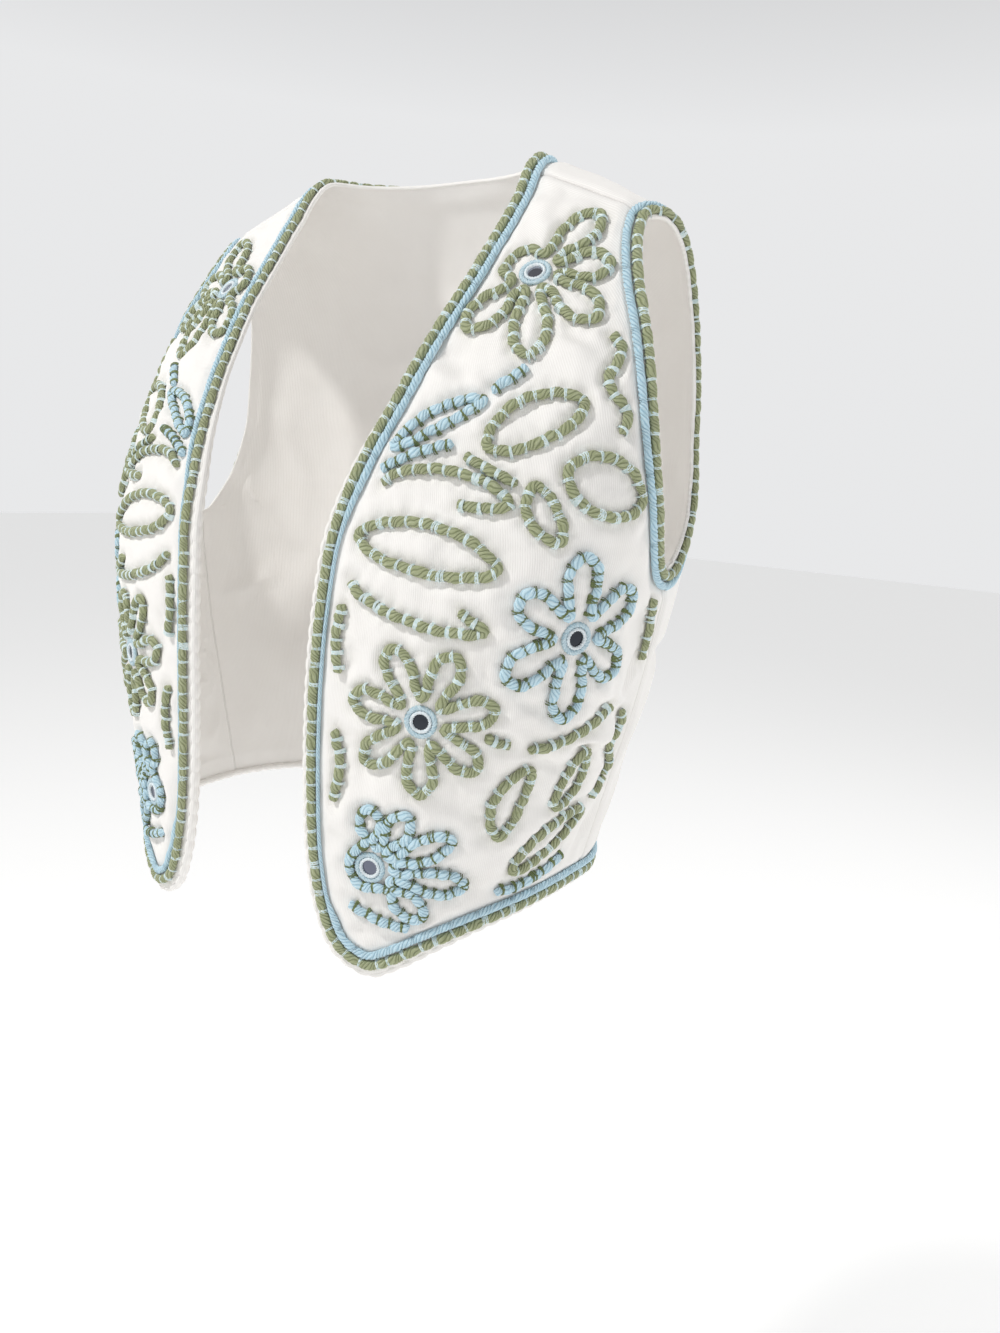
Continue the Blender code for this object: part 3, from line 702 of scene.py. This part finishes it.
def crease(points, angle, height, lean, length, width, depth):
    # A trough (or a ridge, if depth is negative) that runs at an angle over the cloth and fades out.
    place, aside, up = tangents(angle, height)
    turn = math.radians(lean)
    way = math.cos(turn) * aside + math.sin(turn) * up
    off = -math.sin(turn) * aside + math.cos(turn) * up
    away = points - place
    u, v = away @ way / (length / 2), away @ off / width
    out = away @ np.cross(aside, up)
    near = np.exp(-((out / 60) ** 2))
    bend = v - 0.35 * (length / 60) * u * u
    return -depth * np.clip(1 - u * u, 0, 1) * np.exp(-bend * bend) * near


def beside_cords(away, gap):
    # The filled cloth stands up between the cords, more between two stitches than next to one.
    puff = PUFF * (1 - np.exp(-((np.maximum(away - PUFF_START, 0.0) / PUFF_RUN) ** 2)))
    tug = np.exp(-np.maximum(away - TUG_START, 0.0) / TUG_RUN) * smooth_step(2.0, 3.8, away)
    return puff + TUG * tug * (1 - 2 * np.exp(-((gap / TUG_WIDTH) ** 2)))


def beside_seam(from_seam):
    # A seam is a shallow channel with a low welt beside it.
    welt = SEAM_WELT * np.exp(-(((from_seam - SEAM_WELT_AT) / 2.6) ** 2))
    return welt - SEAM_SUNK * np.exp(-((from_seam / 2.4) ** 2))


def cloth(label, points, normals, side, rims, seams, creases, seed, lumps=1.0):
    # A double shell on the panel's own grid of points and normals. It stands up between the cords, is
    # drawn down at each stitch and flat near the seams, and is turned under at its free edges.
    cords = samples[label]
    columns, rows = points.shape[0] - 1, points.shape[1] - 1
    flat, out = points.reshape(-1, 3), normals.reshape(-1, 3)
    tree = nearest_of([place for place, _ in cords])
    gaps = np.array([gap for _, gap in cords])
    found = [tree.find(p) for p in flat]
    away = np.array([hit[2] for hit in found])
    gap = gaps[[hit[1] for hit in found]]
    rise = beside_cords(away, gap)
    calm = smooth_step(3.0, 9.0, away)
    uneven = (BROAD_LUMPS * waves(flat, BROAD_SIZE, seed, 1.3)
              + SMALL_LUMPS * lumps * waves(flat, SMALL_SIZE, seed + 3))
    seam_tree = nearest_of(seams)
    from_seam = np.array([seam_tree.find(p)[2] for p in flat])
    held = smooth_step(0.5, SEAM_HELD, from_seam)
    rise = rise + uneven * (0.3 + 0.7 * calm) * held + beside_seam(from_seam)
    for row in creases:
        rise = rise + CREASE_SCALE * crease(flat, *row) * (0.4 + 0.6 * calm) * held
    edge = nearest_of([place for place, _, _ in rims])
    hits = [edge.find(p) for p in flat]
    far = np.array([hit[2] for hit in hits])
    inward = np.array([rims[hit[1]][1] for hit in hits])
    turned = np.array([rims[hit[1]][2] for hit in hits])
    rise = rise * (1 - 0.75 * np.exp(-((far / 4) ** 2)))
    rise = np.minimum(rise, CORD_HELD + CORD_CLIMB * np.maximum(away - 3.0, 0.0))
    shift = TURNED_IN * turned * np.clip(1 - far / 9, 0, 1)
    outer = flat + inward * shift[:, None] + out * rise[:, None]
    inner = flat + inward * shift[:, None] + out * (INNER_FOLLOWS * rise - CLOTH_THICK)[:, None]
    outer, inner = outer.reshape(points.shape), inner.reshape(points.shape)
    angle = np.arctan2(points[..., 0], -points[..., 1])
    angle = np.unwrap(np.where(angle < -math.pi / 2 - 0.2, angle + 2 * math.pi, angle), axis=0)

    mesh = bmesh.new()
    bmesh.ops.create_grid(mesh, x_segments=columns, y_segments=rows, size=1.0)
    bmesh.ops.solidify(mesh, geom=mesh.faces[:], thickness=1.0)
    layer = mesh.loops.layers.uv.new("cloth")
    top = max(vertex.co.z for vertex in mesh.verts)
    for face in mesh.faces:
        for corner in face.loops:
            i = round((corner.vert.co.x + 1) / 2 * columns)
            j = round((corner.vert.co.y + 1) / 2 * rows)
            corner[layer].uv = (angle[i, j] * UV_RADIUS, points[i, j, 2] * MM)
    for vertex in mesh.verts:
        i = round((vertex.co.x + 1) / 2 * columns)
        j = round((vertex.co.y + 1) / 2 * rows)
        spot = (outer if vertex.co.z > top - 0.5 else inner)[i, j] * MM
        vertex.co = (side * spot[0], spot[1], spot[2])
    node = label if label == "back" else "front_" + label
    piece = finish(node + "_cloth", mesh, cotton, node)
    return piece


# Materials


def linear(code):
    parts = [int(code[k:k + 2], 16) / 255 for k in (1, 3, 5)]
    return tuple(p / 12.92 if p <= 0.04045 else ((p + 0.055) / 1.055) ** 2.4 for p in parts) + (1.0,)


def add(tree, kind, inputs=None, **settings):
    made = tree.nodes.new(kind)
    for name, value in settings.items():
        setattr(made, name, value)
    for key, value in (inputs or {}).items():
        if isinstance(value, bpy.types.NodeSocket):
            tree.links.new(value, made.inputs[key])
        else:
            made.inputs[key].default_value = value
    return made


def look(name, **sockets):
    made = bpy.data.materials.new(name)
    made.use_nodes = True
    shader = made.node_tree.nodes["Principled BSDF"]
    for key, value in sockets.items():
        shader.inputs[key.replace("_", " ")].default_value = value
    return made, made.node_tree, shader


def blend_colours(tree, share, low, high):
    return add(tree, "ShaderNodeMix", {0: share, 6: linear(low), 7: linear(high)},
               data_type="RGBA").outputs[2]


def ribbed_cotton():
    # Matt cream cotton with a fine upright rib and a slightly crepe surface. The rib is 0.85 mm on the
    # real cloth and is drawn 1.15 mm apart, so that it shows.
    made, tree, shader = look("ribbed_cotton", Roughness=0.93, Sheen_Weight=0.12, Sheen_Roughness=0.5)
    uv = add(tree, "ShaderNodeUVMap", uv_map="cloth").outputs["UV"]
    place = add(tree, "ShaderNodeTexCoord").outputs["Object"]
    rib = add(tree, "ShaderNodeTexWave", {"Vector": uv, "Scale": WAVE_UNIT / 0.00115,
                                          "Distortion": 1.2, "Detail": 1.0, "Detail Scale": 0.4},
              wave_type="BANDS", bands_direction="X").outputs["Fac"]
    stretched = add(tree, "ShaderNodeMapping", {"Vector": uv, "Scale": (1.0, 0.35, 1.0)}).outputs[0]
    crepe = add(tree, "ShaderNodeTexNoise", {"Vector": stretched, "Scale": 1 / 0.0011, "Detail": 3.0,
                                             "Roughness": 0.6}).outputs["Fac"]
    soft = add(tree, "ShaderNodeTexNoise",
               {"Vector": place, "Scale": 1 / 0.045, "Detail": 2.0}).outputs["Fac"]
    ground = blend_colours(tree, soft, "#F4F1ED", "#FCFAF7")
    shade = add(tree, "ShaderNodeMath", {0: rib, 1: 0.42}, operation="MULTIPLY").outputs[0]
    tree.links.new(add(tree, "ShaderNodeMix", {0: shade, 6: ground, 7: linear("#E5E1DC")},
                       data_type="RGBA", blend_type="MIX").outputs[2], shader.inputs["Base Color"])
    height = add(tree, "ShaderNodeMix", {0: 0.5, 2: rib, 3: crepe}, data_type="FLOAT").outputs[0]
    bump = add(tree, "ShaderNodeBump", {"Height": height, "Strength": 0.55, "Distance": 0.00035})
    tree.links.new(bump.outputs[0], shader.inputs["Normal"])
    return made


def spun_yarn(name, dark, middle, light, line):
    # Soft spun yarn laid up in strands: matt and streaky along each strand, with painted shade in the
    # grooves where two strands meet.
    made, tree, shader = look(name, Roughness=0.94, Sheen_Weight=0.15, Sheen_Roughness=0.5)
    uv = add(tree, "ShaderNodeUVMap", uv_map="cloth").outputs["UV"]
    parts = add(tree, "ShaderNodeSeparateXYZ", {0: uv}).outputs
    strand = add(tree, "ShaderNodeMath", {0: parts[1], 1: line * LINES_A_STRAND},
                 operation="DIVIDE").outputs[0]
    place = add(tree, "ShaderNodeMath", {0: strand}, operation="FRACT").outputs[0]
    middle_off = add(tree, "ShaderNodeMath", {0: place, 1: 0.5}, operation="SUBTRACT").outputs[0]
    aside = add(tree, "ShaderNodeMath", {0: middle_off}, operation="ABSOLUTE").outputs[0]
    groove = add(tree, "ShaderNodeMapRange", {"Value": aside, 1: 0.28, 2: 0.5}).outputs[0]
    along_strand = add(tree, "ShaderNodeMapping", {"Vector": uv, "Scale": (0.28, 1.0, 1.0),
                                                   "Rotation": (0.0, 0.0, math.radians(14))}).outputs[0]
    fibre = add(tree, "ShaderNodeTexNoise", {"Vector": along_strand, "Scale": 1 / 0.0011, "Detail": 5.0,
                                             "Roughness": 0.75}).outputs["Fac"]
    streak = add(tree, "ShaderNodeMapRange", {"Value": fibre, 1: 0.38, 2: 0.62}).outputs[0]
    body = blend_colours(tree, streak, middle, light)
    # The dark colour is painted shade, laid into the groove between two strands where shade falls.
    shade = add(tree, "ShaderNodeMath", {0: groove, 1: 0.72}, operation="MULTIPLY").outputs[0]
    tree.links.new(add(tree, "ShaderNodeMix", {0: shade, 6: body, 7: linear(dark)},
                       data_type="RGBA").outputs[2], shader.inputs["Base Color"])
    hollow = add(tree, "ShaderNodeMath", {0: fibre, 1: groove}, operation="SUBTRACT").outputs[0]
    bump = add(tree, "ShaderNodeBump", {"Height": hollow, "Strength": 0.8, "Distance": 0.0005})
    tree.links.new(bump.outputs[0], shader.inputs["Normal"])
    return made


def shiny_thread(name, dark, light):
    # Mercerised embroidery thread: smoother than the yarn, with a soft sheen along the strands.
    made, tree, shader = look(name, Roughness=0.55, Sheen_Weight=0.2)
    uv = add(tree, "ShaderNodeUVMap", uv_map="cloth").outputs["UV"]
    noisy = add(tree, "ShaderNodeTexNoise",
                {"Vector": uv, "Scale": 1 / 0.0014, "Detail": 3.0}).outputs["Fac"]
    fine = add(tree, "ShaderNodeMapRange", {"Value": noisy, 1: 0.35, 2: 0.65}).outputs[0]
    tree.links.new(blend_colours(tree, fine, dark, light), shader.inputs["Base Color"])
    bump = add(tree, "ShaderNodeBump", {"Height": fine, "Strength": 0.5, "Distance": 0.0002})
    tree.links.new(bump.outputs[0], shader.inputs["Normal"])
    return made


def silvered_glass(name, painted_reflection_tone):
    # Cheap craft mirror: silvered glass, slightly uneven. Its metal colour is a painted reflection: the
    # tone makes two mirrors dark, as if they showed the dark part of a room, and two paler.
    made, tree, shader = look(name, Base_Color=linear(painted_reflection_tone), Metallic=1.0, Roughness=0.08)
    place = add(tree, "ShaderNodeTexCoord").outputs["Object"]
    uneven = add(tree, "ShaderNodeTexNoise",
                 {"Vector": place, "Scale": 1 / 0.004, "Detail": 1.0}).outputs["Fac"]
    bump = add(tree, "ShaderNodeBump", {"Height": uneven, "Strength": 0.25, "Distance": 0.0004})
    tree.links.new(bump.outputs[0], shader.inputs["Normal"])
    rough = add(tree, "ShaderNodeMapRange", {"Value": uneven, 3: 0.05, 4: 0.16}).outputs[0]
    tree.links.new(rough, shader.inputs["Roughness"])
    return made


cotton = ribbed_cotton()
thick_line = line_width(CORD_WIDTH, CORD_TOP)
# The first colour of each yarn is the painted shade in the grooves between its strands.
green_yarn = spun_yarn("sage_yarn", "#68704B", "#949B72", "#B4B997", thick_line)
blue_yarn = spun_yarn("sky_yarn", "#96BFD3", "#BADBE9", "#D6EBF3", thick_line)
edge_blue_yarn = spun_yarn("edge_sky_yarn", "#8FB8CD", "#B6D8E7", "#D2E8F1",
                           line_width(EDGE_BLUE_WIDTH, EDGE_BLUE_TOP, 4))
aqua_thread = shiny_thread("pale_aqua_thread", "#C4DCDD", "#EAF4F3")
green_thread = shiny_thread("olive_thread", "#5F6D3F", "#84915C")
white_thread = shiny_thread("white_thread", "#D3E2E8", "#F4F8FA")
ring_thread = shiny_thread("ring_blue_thread", "#A0BECB", "#D3E4EA")
painted_dark_reflection_mirror = silvered_glass("silvered_glass_painted_dark_reflection", "#3E4248")
# Painted reflections: each mirror's metal colour stands in for what it would reflect.
MIRROR_LOOKS = {
    "1": silvered_glass("silvered_glass_painted_pale_reflection", "#B6B8C2"),
    "2": painted_dark_reflection_mirror,
    "3": painted_dark_reflection_mirror,
    "4": silvered_glass("silvered_glass_painted_grey_reflection", "#6E7280"),
}
YARN = {"green": green_yarn, "blue": blue_yarn}
SIDES = (("left", 1), ("right", -1))

# Fine panel grids: columns across, and rows below and beside the armhole
FINE_COLUMNS, FINE_SIDE, FINE_ARM = 108, 138, 124
half_gap = SEAM_GAP / 2
edge, hem = front_rim()
rows = FINE_SIDE + FINE_ARM + 1
side_edge = np.vstack([side_seam(FINE_SIDE + 1, -half_gap)[:-1],
                       armhole(ARMHOLE_FRONT, FINE_ARM + 1, -half_gap)])
hem_front = even(hem, FINE_COLUMNS + 1)
hem_front[-1] = side_edge[0]
top_front = shoulder(FINE_COLUMNS + 1, -half_gap)
edge_up = even(edge[::-1], rows)
edge_up[0] = hem_front[0]
edge_up[-1] = top_front[0]
side_edge[-1] = top_front[-1]
front_grid = patch(edge_up, side_edge, hem_front, top_front)

BACK_SIDE, BACK_ARM, BACK_SHOULDER, BACK_NECK_COLUMNS = 80, 78, 34, 90
back_side = np.vstack([side_seam(BACK_SIDE + 1, half_gap)[:-1],
                       armhole(ARMHOLE_BACK, BACK_ARM + 1, half_gap)])
half_neck = [np.array(row, float) for row in BACK_NECK]
neck_stations = half_neck + [mirror_side(p, -1) for p in reversed(half_neck[:-1])]
neck_path = on_cloth(smooth_path(neck_stations, 400))[0]
shoulder_back = shoulder(BACK_SHOULDER + 1, half_gap)[::-1]
neck_back = even(neck_path, BACK_NECK_COLUMNS + 1)
top_back = np.vstack([shoulder_back[:-1], neck_back[:-1], mirror_side(shoulder_back, -1)[::-1]])
top_back[BACK_SHOULDER] = shoulder_back[-1]
half_hem = [by_angle(angle, z) for angle, z in BACK_HEM]
hem_stations = half_hem + [mirror_side(p, -1) for p in reversed(half_hem[:-1])]
hem_path = on_cloth(smooth_path(hem_stations, 400))[0]
hem_back = even(hem_path, len(top_back))
back_side[-1] = top_back[0]
hem_back[0] = back_side[0]
hem_back[-1] = mirror_side(back_side, -1)[0]
back_grid = patch(back_side, mirror_side(back_side, -1), hem_back, top_back)

# Cords along the edges
dice = random.Random(7)
whole_edge = np.vstack([edge[:-1], hem[:-1], hem_path[:-1], mirror_side(hem, -1)[::-1][:-1],
                        mirror_side(edge, -1)[::-1][:-1], neck_path[::-1][:-1], edge[:1]])
rim_points, rim_inward, (green_line, blue_line) = edge_lines(whole_edge, (EDGE_GREEN_IN, EDGE_BLUE_IN))
on_front = smooth_step(-196, -250, blue_line[:, 2]) * smooth_step(-478, -462, blue_line[:, 2])
on_front = on_front * (np.abs(blue_line[:, 0]) < 90) * (blue_line[:, 1] < 0)
thin = 1 - 0.5 * on_front
towards = green_line - blue_line
towards /= np.linalg.norm(towards, axis=1)[:, None]
blue_line = blue_line + towards * (1.9 * on_front)[:, None]
pale_rows = {"left": [], "right": []}
olive_rows = {"left": [], "right": []}
BLUE_LAY = {"every": EDGE_STITCH_EVERY, "twist": 10.4, "strands": 4, "groove": 0.24, "pinch": 0.06}


def cord_pair(place, label, green_path, blue_path, side, widths=None):
    # The thick green cord, whose stitches are kept for later, and the thinner blue one beside it.
    piece, sewn, points, gap = twisted_cord(
        place + "_cord_green_yarn" + label, green_path, CORD_WIDTH, CORD_TOP, side, green_yarn, True,
        dice, every=EDGE_STITCH_EVERY, node=place + "_cord_green" + label)
    pale_rows[place + label] = sewn
    made = list(zip(points, gap))
    piece, _, points, _ = twisted_cord(
        place + "_cord_blue_yarn" + label, blue_path, EDGE_BLUE_WIDTH, EDGE_BLUE_TOP, side,
        edge_blue_yarn, True, dice, node=place + "_cord_blue" + label, widths=widths, **BLUE_LAY)
    return made + [(point, NO_STITCH) for point in points]


edge_samples = cord_pair("edge", "", green_line, blue_line, 1, np.append(thin, thin[0]))
samples = {label: list(edge_samples) for label in ("left", "right", "back")}
hole_edge = np.vstack([armhole(ARMHOLE_FRONT, 300, 0.0)[:-1], armhole(ARMHOLE_BACK, 300, 0.0)[::-1]])
hole_points, hole_inward, (hole_green, hole_blue) = edge_lines(hole_edge, (EDGE_GREEN_IN, EDGE_BLUE_IN))
for label, side in SIDES:
    made = cord_pair("armhole", "_" + label, hole_green, hole_blue, side)
    samples[label] += made
    samples["back"] += made + [(mirror_side(p, -1), g) for p, g in made]


# Cords of the flowers, leaves and stems


def motif(name, colour, path, closed, label, side):
    every = STITCH_EVERY if colour == "green" else BLUE_STITCH_EVERY
    node = name + "_" + label
    piece, sewn, points, gap = twisted_cord(
        name + "_yarn_" + label, path, CORD_WIDTH, CORD_TOP, side, YARN[colour], closed, dice,
        every=every, node=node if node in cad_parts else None)
    (pale_rows if colour == "green" else olive_rows)[label].extend(sewn)
    samples[label] += list(zip(points, gap))


def stitched_ring(name, angle, z, size, side, look, node=None):
    # A ring of thread laid over the mirror's rim, stitch beside stitch.
    radius, width, tall, ridges = size
    place, aside, up = tangents(angle, z)
    out = np.cross(aside, up)
    sides, steps = 8, ridges * 3

    def spot(i, j):
        turn = 2 * math.pi * i / steps
        lap = 2 * math.pi * j / sides
        rough = 1 - 0.28 * (i % 3 == 0)
        r = radius + width / 2 * np.cos(lap) * rough
        lift = 0.25 + tall / 2 + tall / 2 * np.sin(lap) * rough
        turn = turn + 1.3 / radius * np.cos(lap)
        flat = place + (r * np.cos(turn))[:, None] * aside + (r * np.sin(turn))[:, None] * up
        return mirror_side(flat + lift[:, None] * out, side)

    mesh = bent_grid(steps, sides, spot, lambda i, j: (i * 0.0008, j * 0.0006), (True, True))
    finish(name, mesh, look, node)


def glass_disc(name, angle, z, side, look, node):
    # A slightly domed disc with a rounded rim, under the white ring.
    place, aside, up = tangents(angle, z)
    out = np.cross(aside, up)
    mesh = bmesh.new()
    bmesh.ops.create_cone(mesh, cap_ends=True, cap_tris=False, segments=40, radius1=MIRROR_RADIUS,
                          radius2=MIRROR_RADIUS, depth=MIRROR_THICK)
    caps = [face for face in mesh.faces if abs(face.normal.z) > 0.9]
    for _ in range(2):
        bmesh.ops.inset_region(mesh, faces=caps, thickness=1.7)
    for vertex in mesh.verts:
        x, y, h = vertex.co
        dome = MIRROR_DOME * (1 - (x * x + y * y) / MIRROR_RADIUS ** 2) if h > 0 else 0.0
        spot = place + aside * x + up * y + out * (h + MIRROR_THICK / 2 + MIRROR_LIFT + dome)
        vertex.co = mirror_side(spot * MM, side)
    finish(name, mesh, look, node)


for label, side in SIDES:
    for name, colour, angle, z, spread, first, half_width, closing, reaches in FLOWERS:
        path = flower_path(angle, z, spread, first, half_width, closing, reaches, 400)
        motif(name, colour, path, True, label, side)
        number = name[-1]
        mirror = number + "_" + label
        glass_disc("mirror_glass_" + mirror, angle, z, side, MIRROR_LOOKS[number], "mirror_" + mirror)
        stitched_ring("mirror_ring_blue_" + mirror, angle, z, BLUE_RING, side, ring_thread,
                      "mirror_ring_" + mirror)
        stitched_ring("mirror_ring_white_" + mirror, angle, z, WHITE_RING, side, white_thread)
        place, aside, up = tangents(angle, z)
        under_glass = ((0, 0), (6, 0), (-6, 0), (0, 6), (0, -6))
        samples[label] += [(place + aside * x + up * y, NO_STITCH) for x, y in under_glass]
    for name, colour, base_angle, base_z, tip_angle, tip_z, half_width, bow in LEAVES:
        path = leaf_path((base_angle, base_z), (tip_angle, tip_z), half_width, bow, 240)
        motif(name, colour, path, True, label, side)
    for name, colour, base_angle, base_z, tip_angle, tip_z, half_width, second, bow, stop in OPEN_LEAVES:
        path = leaf_path((base_angle, base_z), (tip_angle, tip_z), half_width, bow, 240, second, stop)
        motif(name, colour, path, False, label, side)
    for name, colour, start_angle, start_z, end_angle, end_z, bow, swing, wave_count in STEMS + SMALL_STEMS:
        path = stem_path((start_angle, start_z), (end_angle, end_z), bow, swing, wave_count, 2.0)
        motif(name, colour, path, False, label, side)

# Stitches over the cords
for label, side in SIDES:
    pale = stitches("couching_pale_" + label, pale_rows[label], side, aqua_thread, dice)
    olive = stitches("couching_olive_" + label, olive_rows[label], side, green_thread, dice, 0.5, True)
    armhole_rows = pale_rows["armhole_" + label]
    pale = stitches("couching_armhole_" + label, armhole_rows, side, aqua_thread, dice, 0.9)
stitches("couching_edge", pale_rows["edge"], 1, aqua_thread, dice, 0.9)

# Cloth: each rim row is a place on a free edge, the way inward and how far it is turned under there
rolled = smooth_step(-120, -250, rim_points[:, 2])
edge_rows = list(zip(rim_points, rim_inward, 1 - rolled))
hole_rows = list(zip(hole_points, hole_inward, smooth_step(-240, -205, hole_points[:, 2])))
hole_rows_right = [(mirror_side(p, -1), mirror_side(v, -1), t) for p, v, t in hole_rows]
seams = list(side_seam(200, 0.0)) + list(shoulder(120, 0.0))
seams += [mirror_side(p, -1) for p in seams]
CLOTH_SEEDS = {"left": 1, "right": 5, "back": 11}
for label, side in SIDES:
    creases = FRONT_CREASES
    if label == "right":
        creases = [(angle + dice.uniform(-4, 4), height + dice.uniform(-9, 9), lean + dice.uniform(-12, 12),
                    long * dice.uniform(0.8, 1.2), wide, deep * dice.uniform(0.7, 1.2))
                   for angle, height, lean, long, wide, deep in FRONT_CREASES]
    cloth(label, *front_grid, side, edge_rows + hole_rows, seams, creases,
                       CLOTH_SEEDS[label])
cloth("back", *back_grid, 1, edge_rows + hole_rows + hole_rows_right, seams,
                    BACK_CREASES, CLOTH_SEEDS["back"], 0.3)


def rolled_edge(name, points, inward, share):
    # A narrow roll of cloth outside the cord, drawn in at each stitch so that it bulges in between.
    # It is full where share is 1, and thin and turned under the cord where share is 0.
    ring, normals = on_cloth(points, steps=2)
    count = len(ring)
    length = length_of(ring, True)
    run = np.arange(count) * length / count
    bulge = np.abs(np.sin(math.pi * run / (length / round(length / EDGE_STITCH_EVERY)))) ** 0.7
    sides = 12
    full = (0.45 + 0.55 * share) * (1 - (0.10 + 0.22 * share) * (1 - bulge))

    def spot(i, j):
        lap = 2 * math.pi * j / sides
        x = RIM_HALF * full[i] * np.cos(lap)
        y = RIM_DEEP * full[i] * np.sin(lap) - CLOTH_THICK / 2 - 1.5 * share[i]
        out_by = 0.4 + 0.5 * share[i] - TURNED_IN * (1 - share[i])
        return ring[i] + inward[i] * (x - out_by)[:, None] + normals[i] * y[:, None]

    step = length / count * MM
    mesh = bent_grid(count, sides, spot, lambda i, j: (j * 0.0011, i * step), (True, True))
    finish(name, mesh, cotton)


rolled_edge("rolled_edge", rim_points, rim_inward, rolled)

# Camera, light and floor
CAMERA_TURN, CAMERA_DOWN, CAMERA_ROLL = 32.2, 11.3, 4.0
CAMERA_FAR = 0.698
AIM = Vector((0.098, 0.0, -0.329))
FOCAL, PICTURE_HEIGHT, SENSOR = 985, 1333, 36
FLOOR_HEIGHT, FLOOR_HALF = -1.35, 14.0
turn, down, roll = (math.radians(a) for a in (CAMERA_TURN, CAMERA_DOWN, CAMERA_ROLL))
sight = Vector((-math.sin(turn) * math.cos(down), math.cos(turn) * math.cos(down), -math.sin(down)))
level = Vector((math.cos(turn), math.sin(turn), 0.0))
upright = level.cross(sight)
right = math.cos(roll) * level + math.sin(roll) * upright
above = -math.sin(roll) * level + math.cos(roll) * upright
lens = bpy.data.cameras.new("camera")
lens.lens = FOCAL * SENSOR / PICTURE_HEIGHT
lens.sensor_width = SENSOR
lens.clip_start = 0.02
camera = bpy.data.objects.new("camera", lens)
axes = Matrix((right, above, -sight)).transposed().to_4x4()
camera.matrix_world = Matrix.Translation(AIM - sight * CAMERA_FAR) @ axes
bpy.context.scene.collection.objects.link(camera)
bpy.context.scene.camera = camera


def lamp(name, place, size, power, colour):
    data = bpy.data.lights.new(name, "AREA")
    data.shape = "DISK"
    data.size = size
    data.energy = power
    data.color = colour
    made = bpy.data.objects.new(name, data)
    made.location = place
    made.rotation_euler = (Vector((0, 0, -0.25)) - Vector(place)).to_track_quat("-Z", "Y").to_euler()
    bpy.context.scene.collection.objects.link(made)


lamp("key", (-1.2, -1.7, 2.2), 0.35, 57, (1.0, 0.995, 0.985))
lamp("fill", (2.4, -1.2, 0.4), 1.8, 5, (0.95, 0.975, 1.0))
lamp("back", (1.5, 2.3, 1.7), 0.7, 29, (1.0, 1.0, 1.0))

# Pale walls and a darker ceiling, so that light from above does not flatten the folds
world = bpy.data.worlds.new("studio")
world.use_nodes = True
room = world.node_tree
way = add(room, "ShaderNodeTexCoord").outputs["Generated"]
height = add(room, "ShaderNodeSeparateXYZ", {0: way}).outputs[2]
wall = add(room, "ShaderNodeMapRange", {"Value": height, 1: 0.30, 2: 0.80, 3: 0.82, 4: 0.2}).outputs[0]
room.links.new(wall, room.nodes["Background"].inputs["Strength"])
room.nodes["Background"].inputs["Color"].default_value = (0.985, 0.99, 1.0, 1.0)
bpy.context.scene.world = world
bpy.context.scene.view_settings.view_transform = "Standard"

ground = bmesh.new()
bmesh.ops.create_grid(ground, x_segments=1, y_segments=1, size=FLOOR_HALF)
for vertex in ground.verts:
    vertex.co.z = FLOOR_HEIGHT
data = bpy.data.meshes.new("floor")
ground.to_mesh(data)
ground.free()
paper = look("floor_paper", Base_Color=linear("#F5F4F2"), Roughness=0.9,
             Emission_Color=linear("#FAFBFC"), Emission_Strength=0.4)[0]
data.materials.append(paper)
floor = bpy.data.objects.new("floor", data)
bpy.context.scene.collection.objects.link(floor)
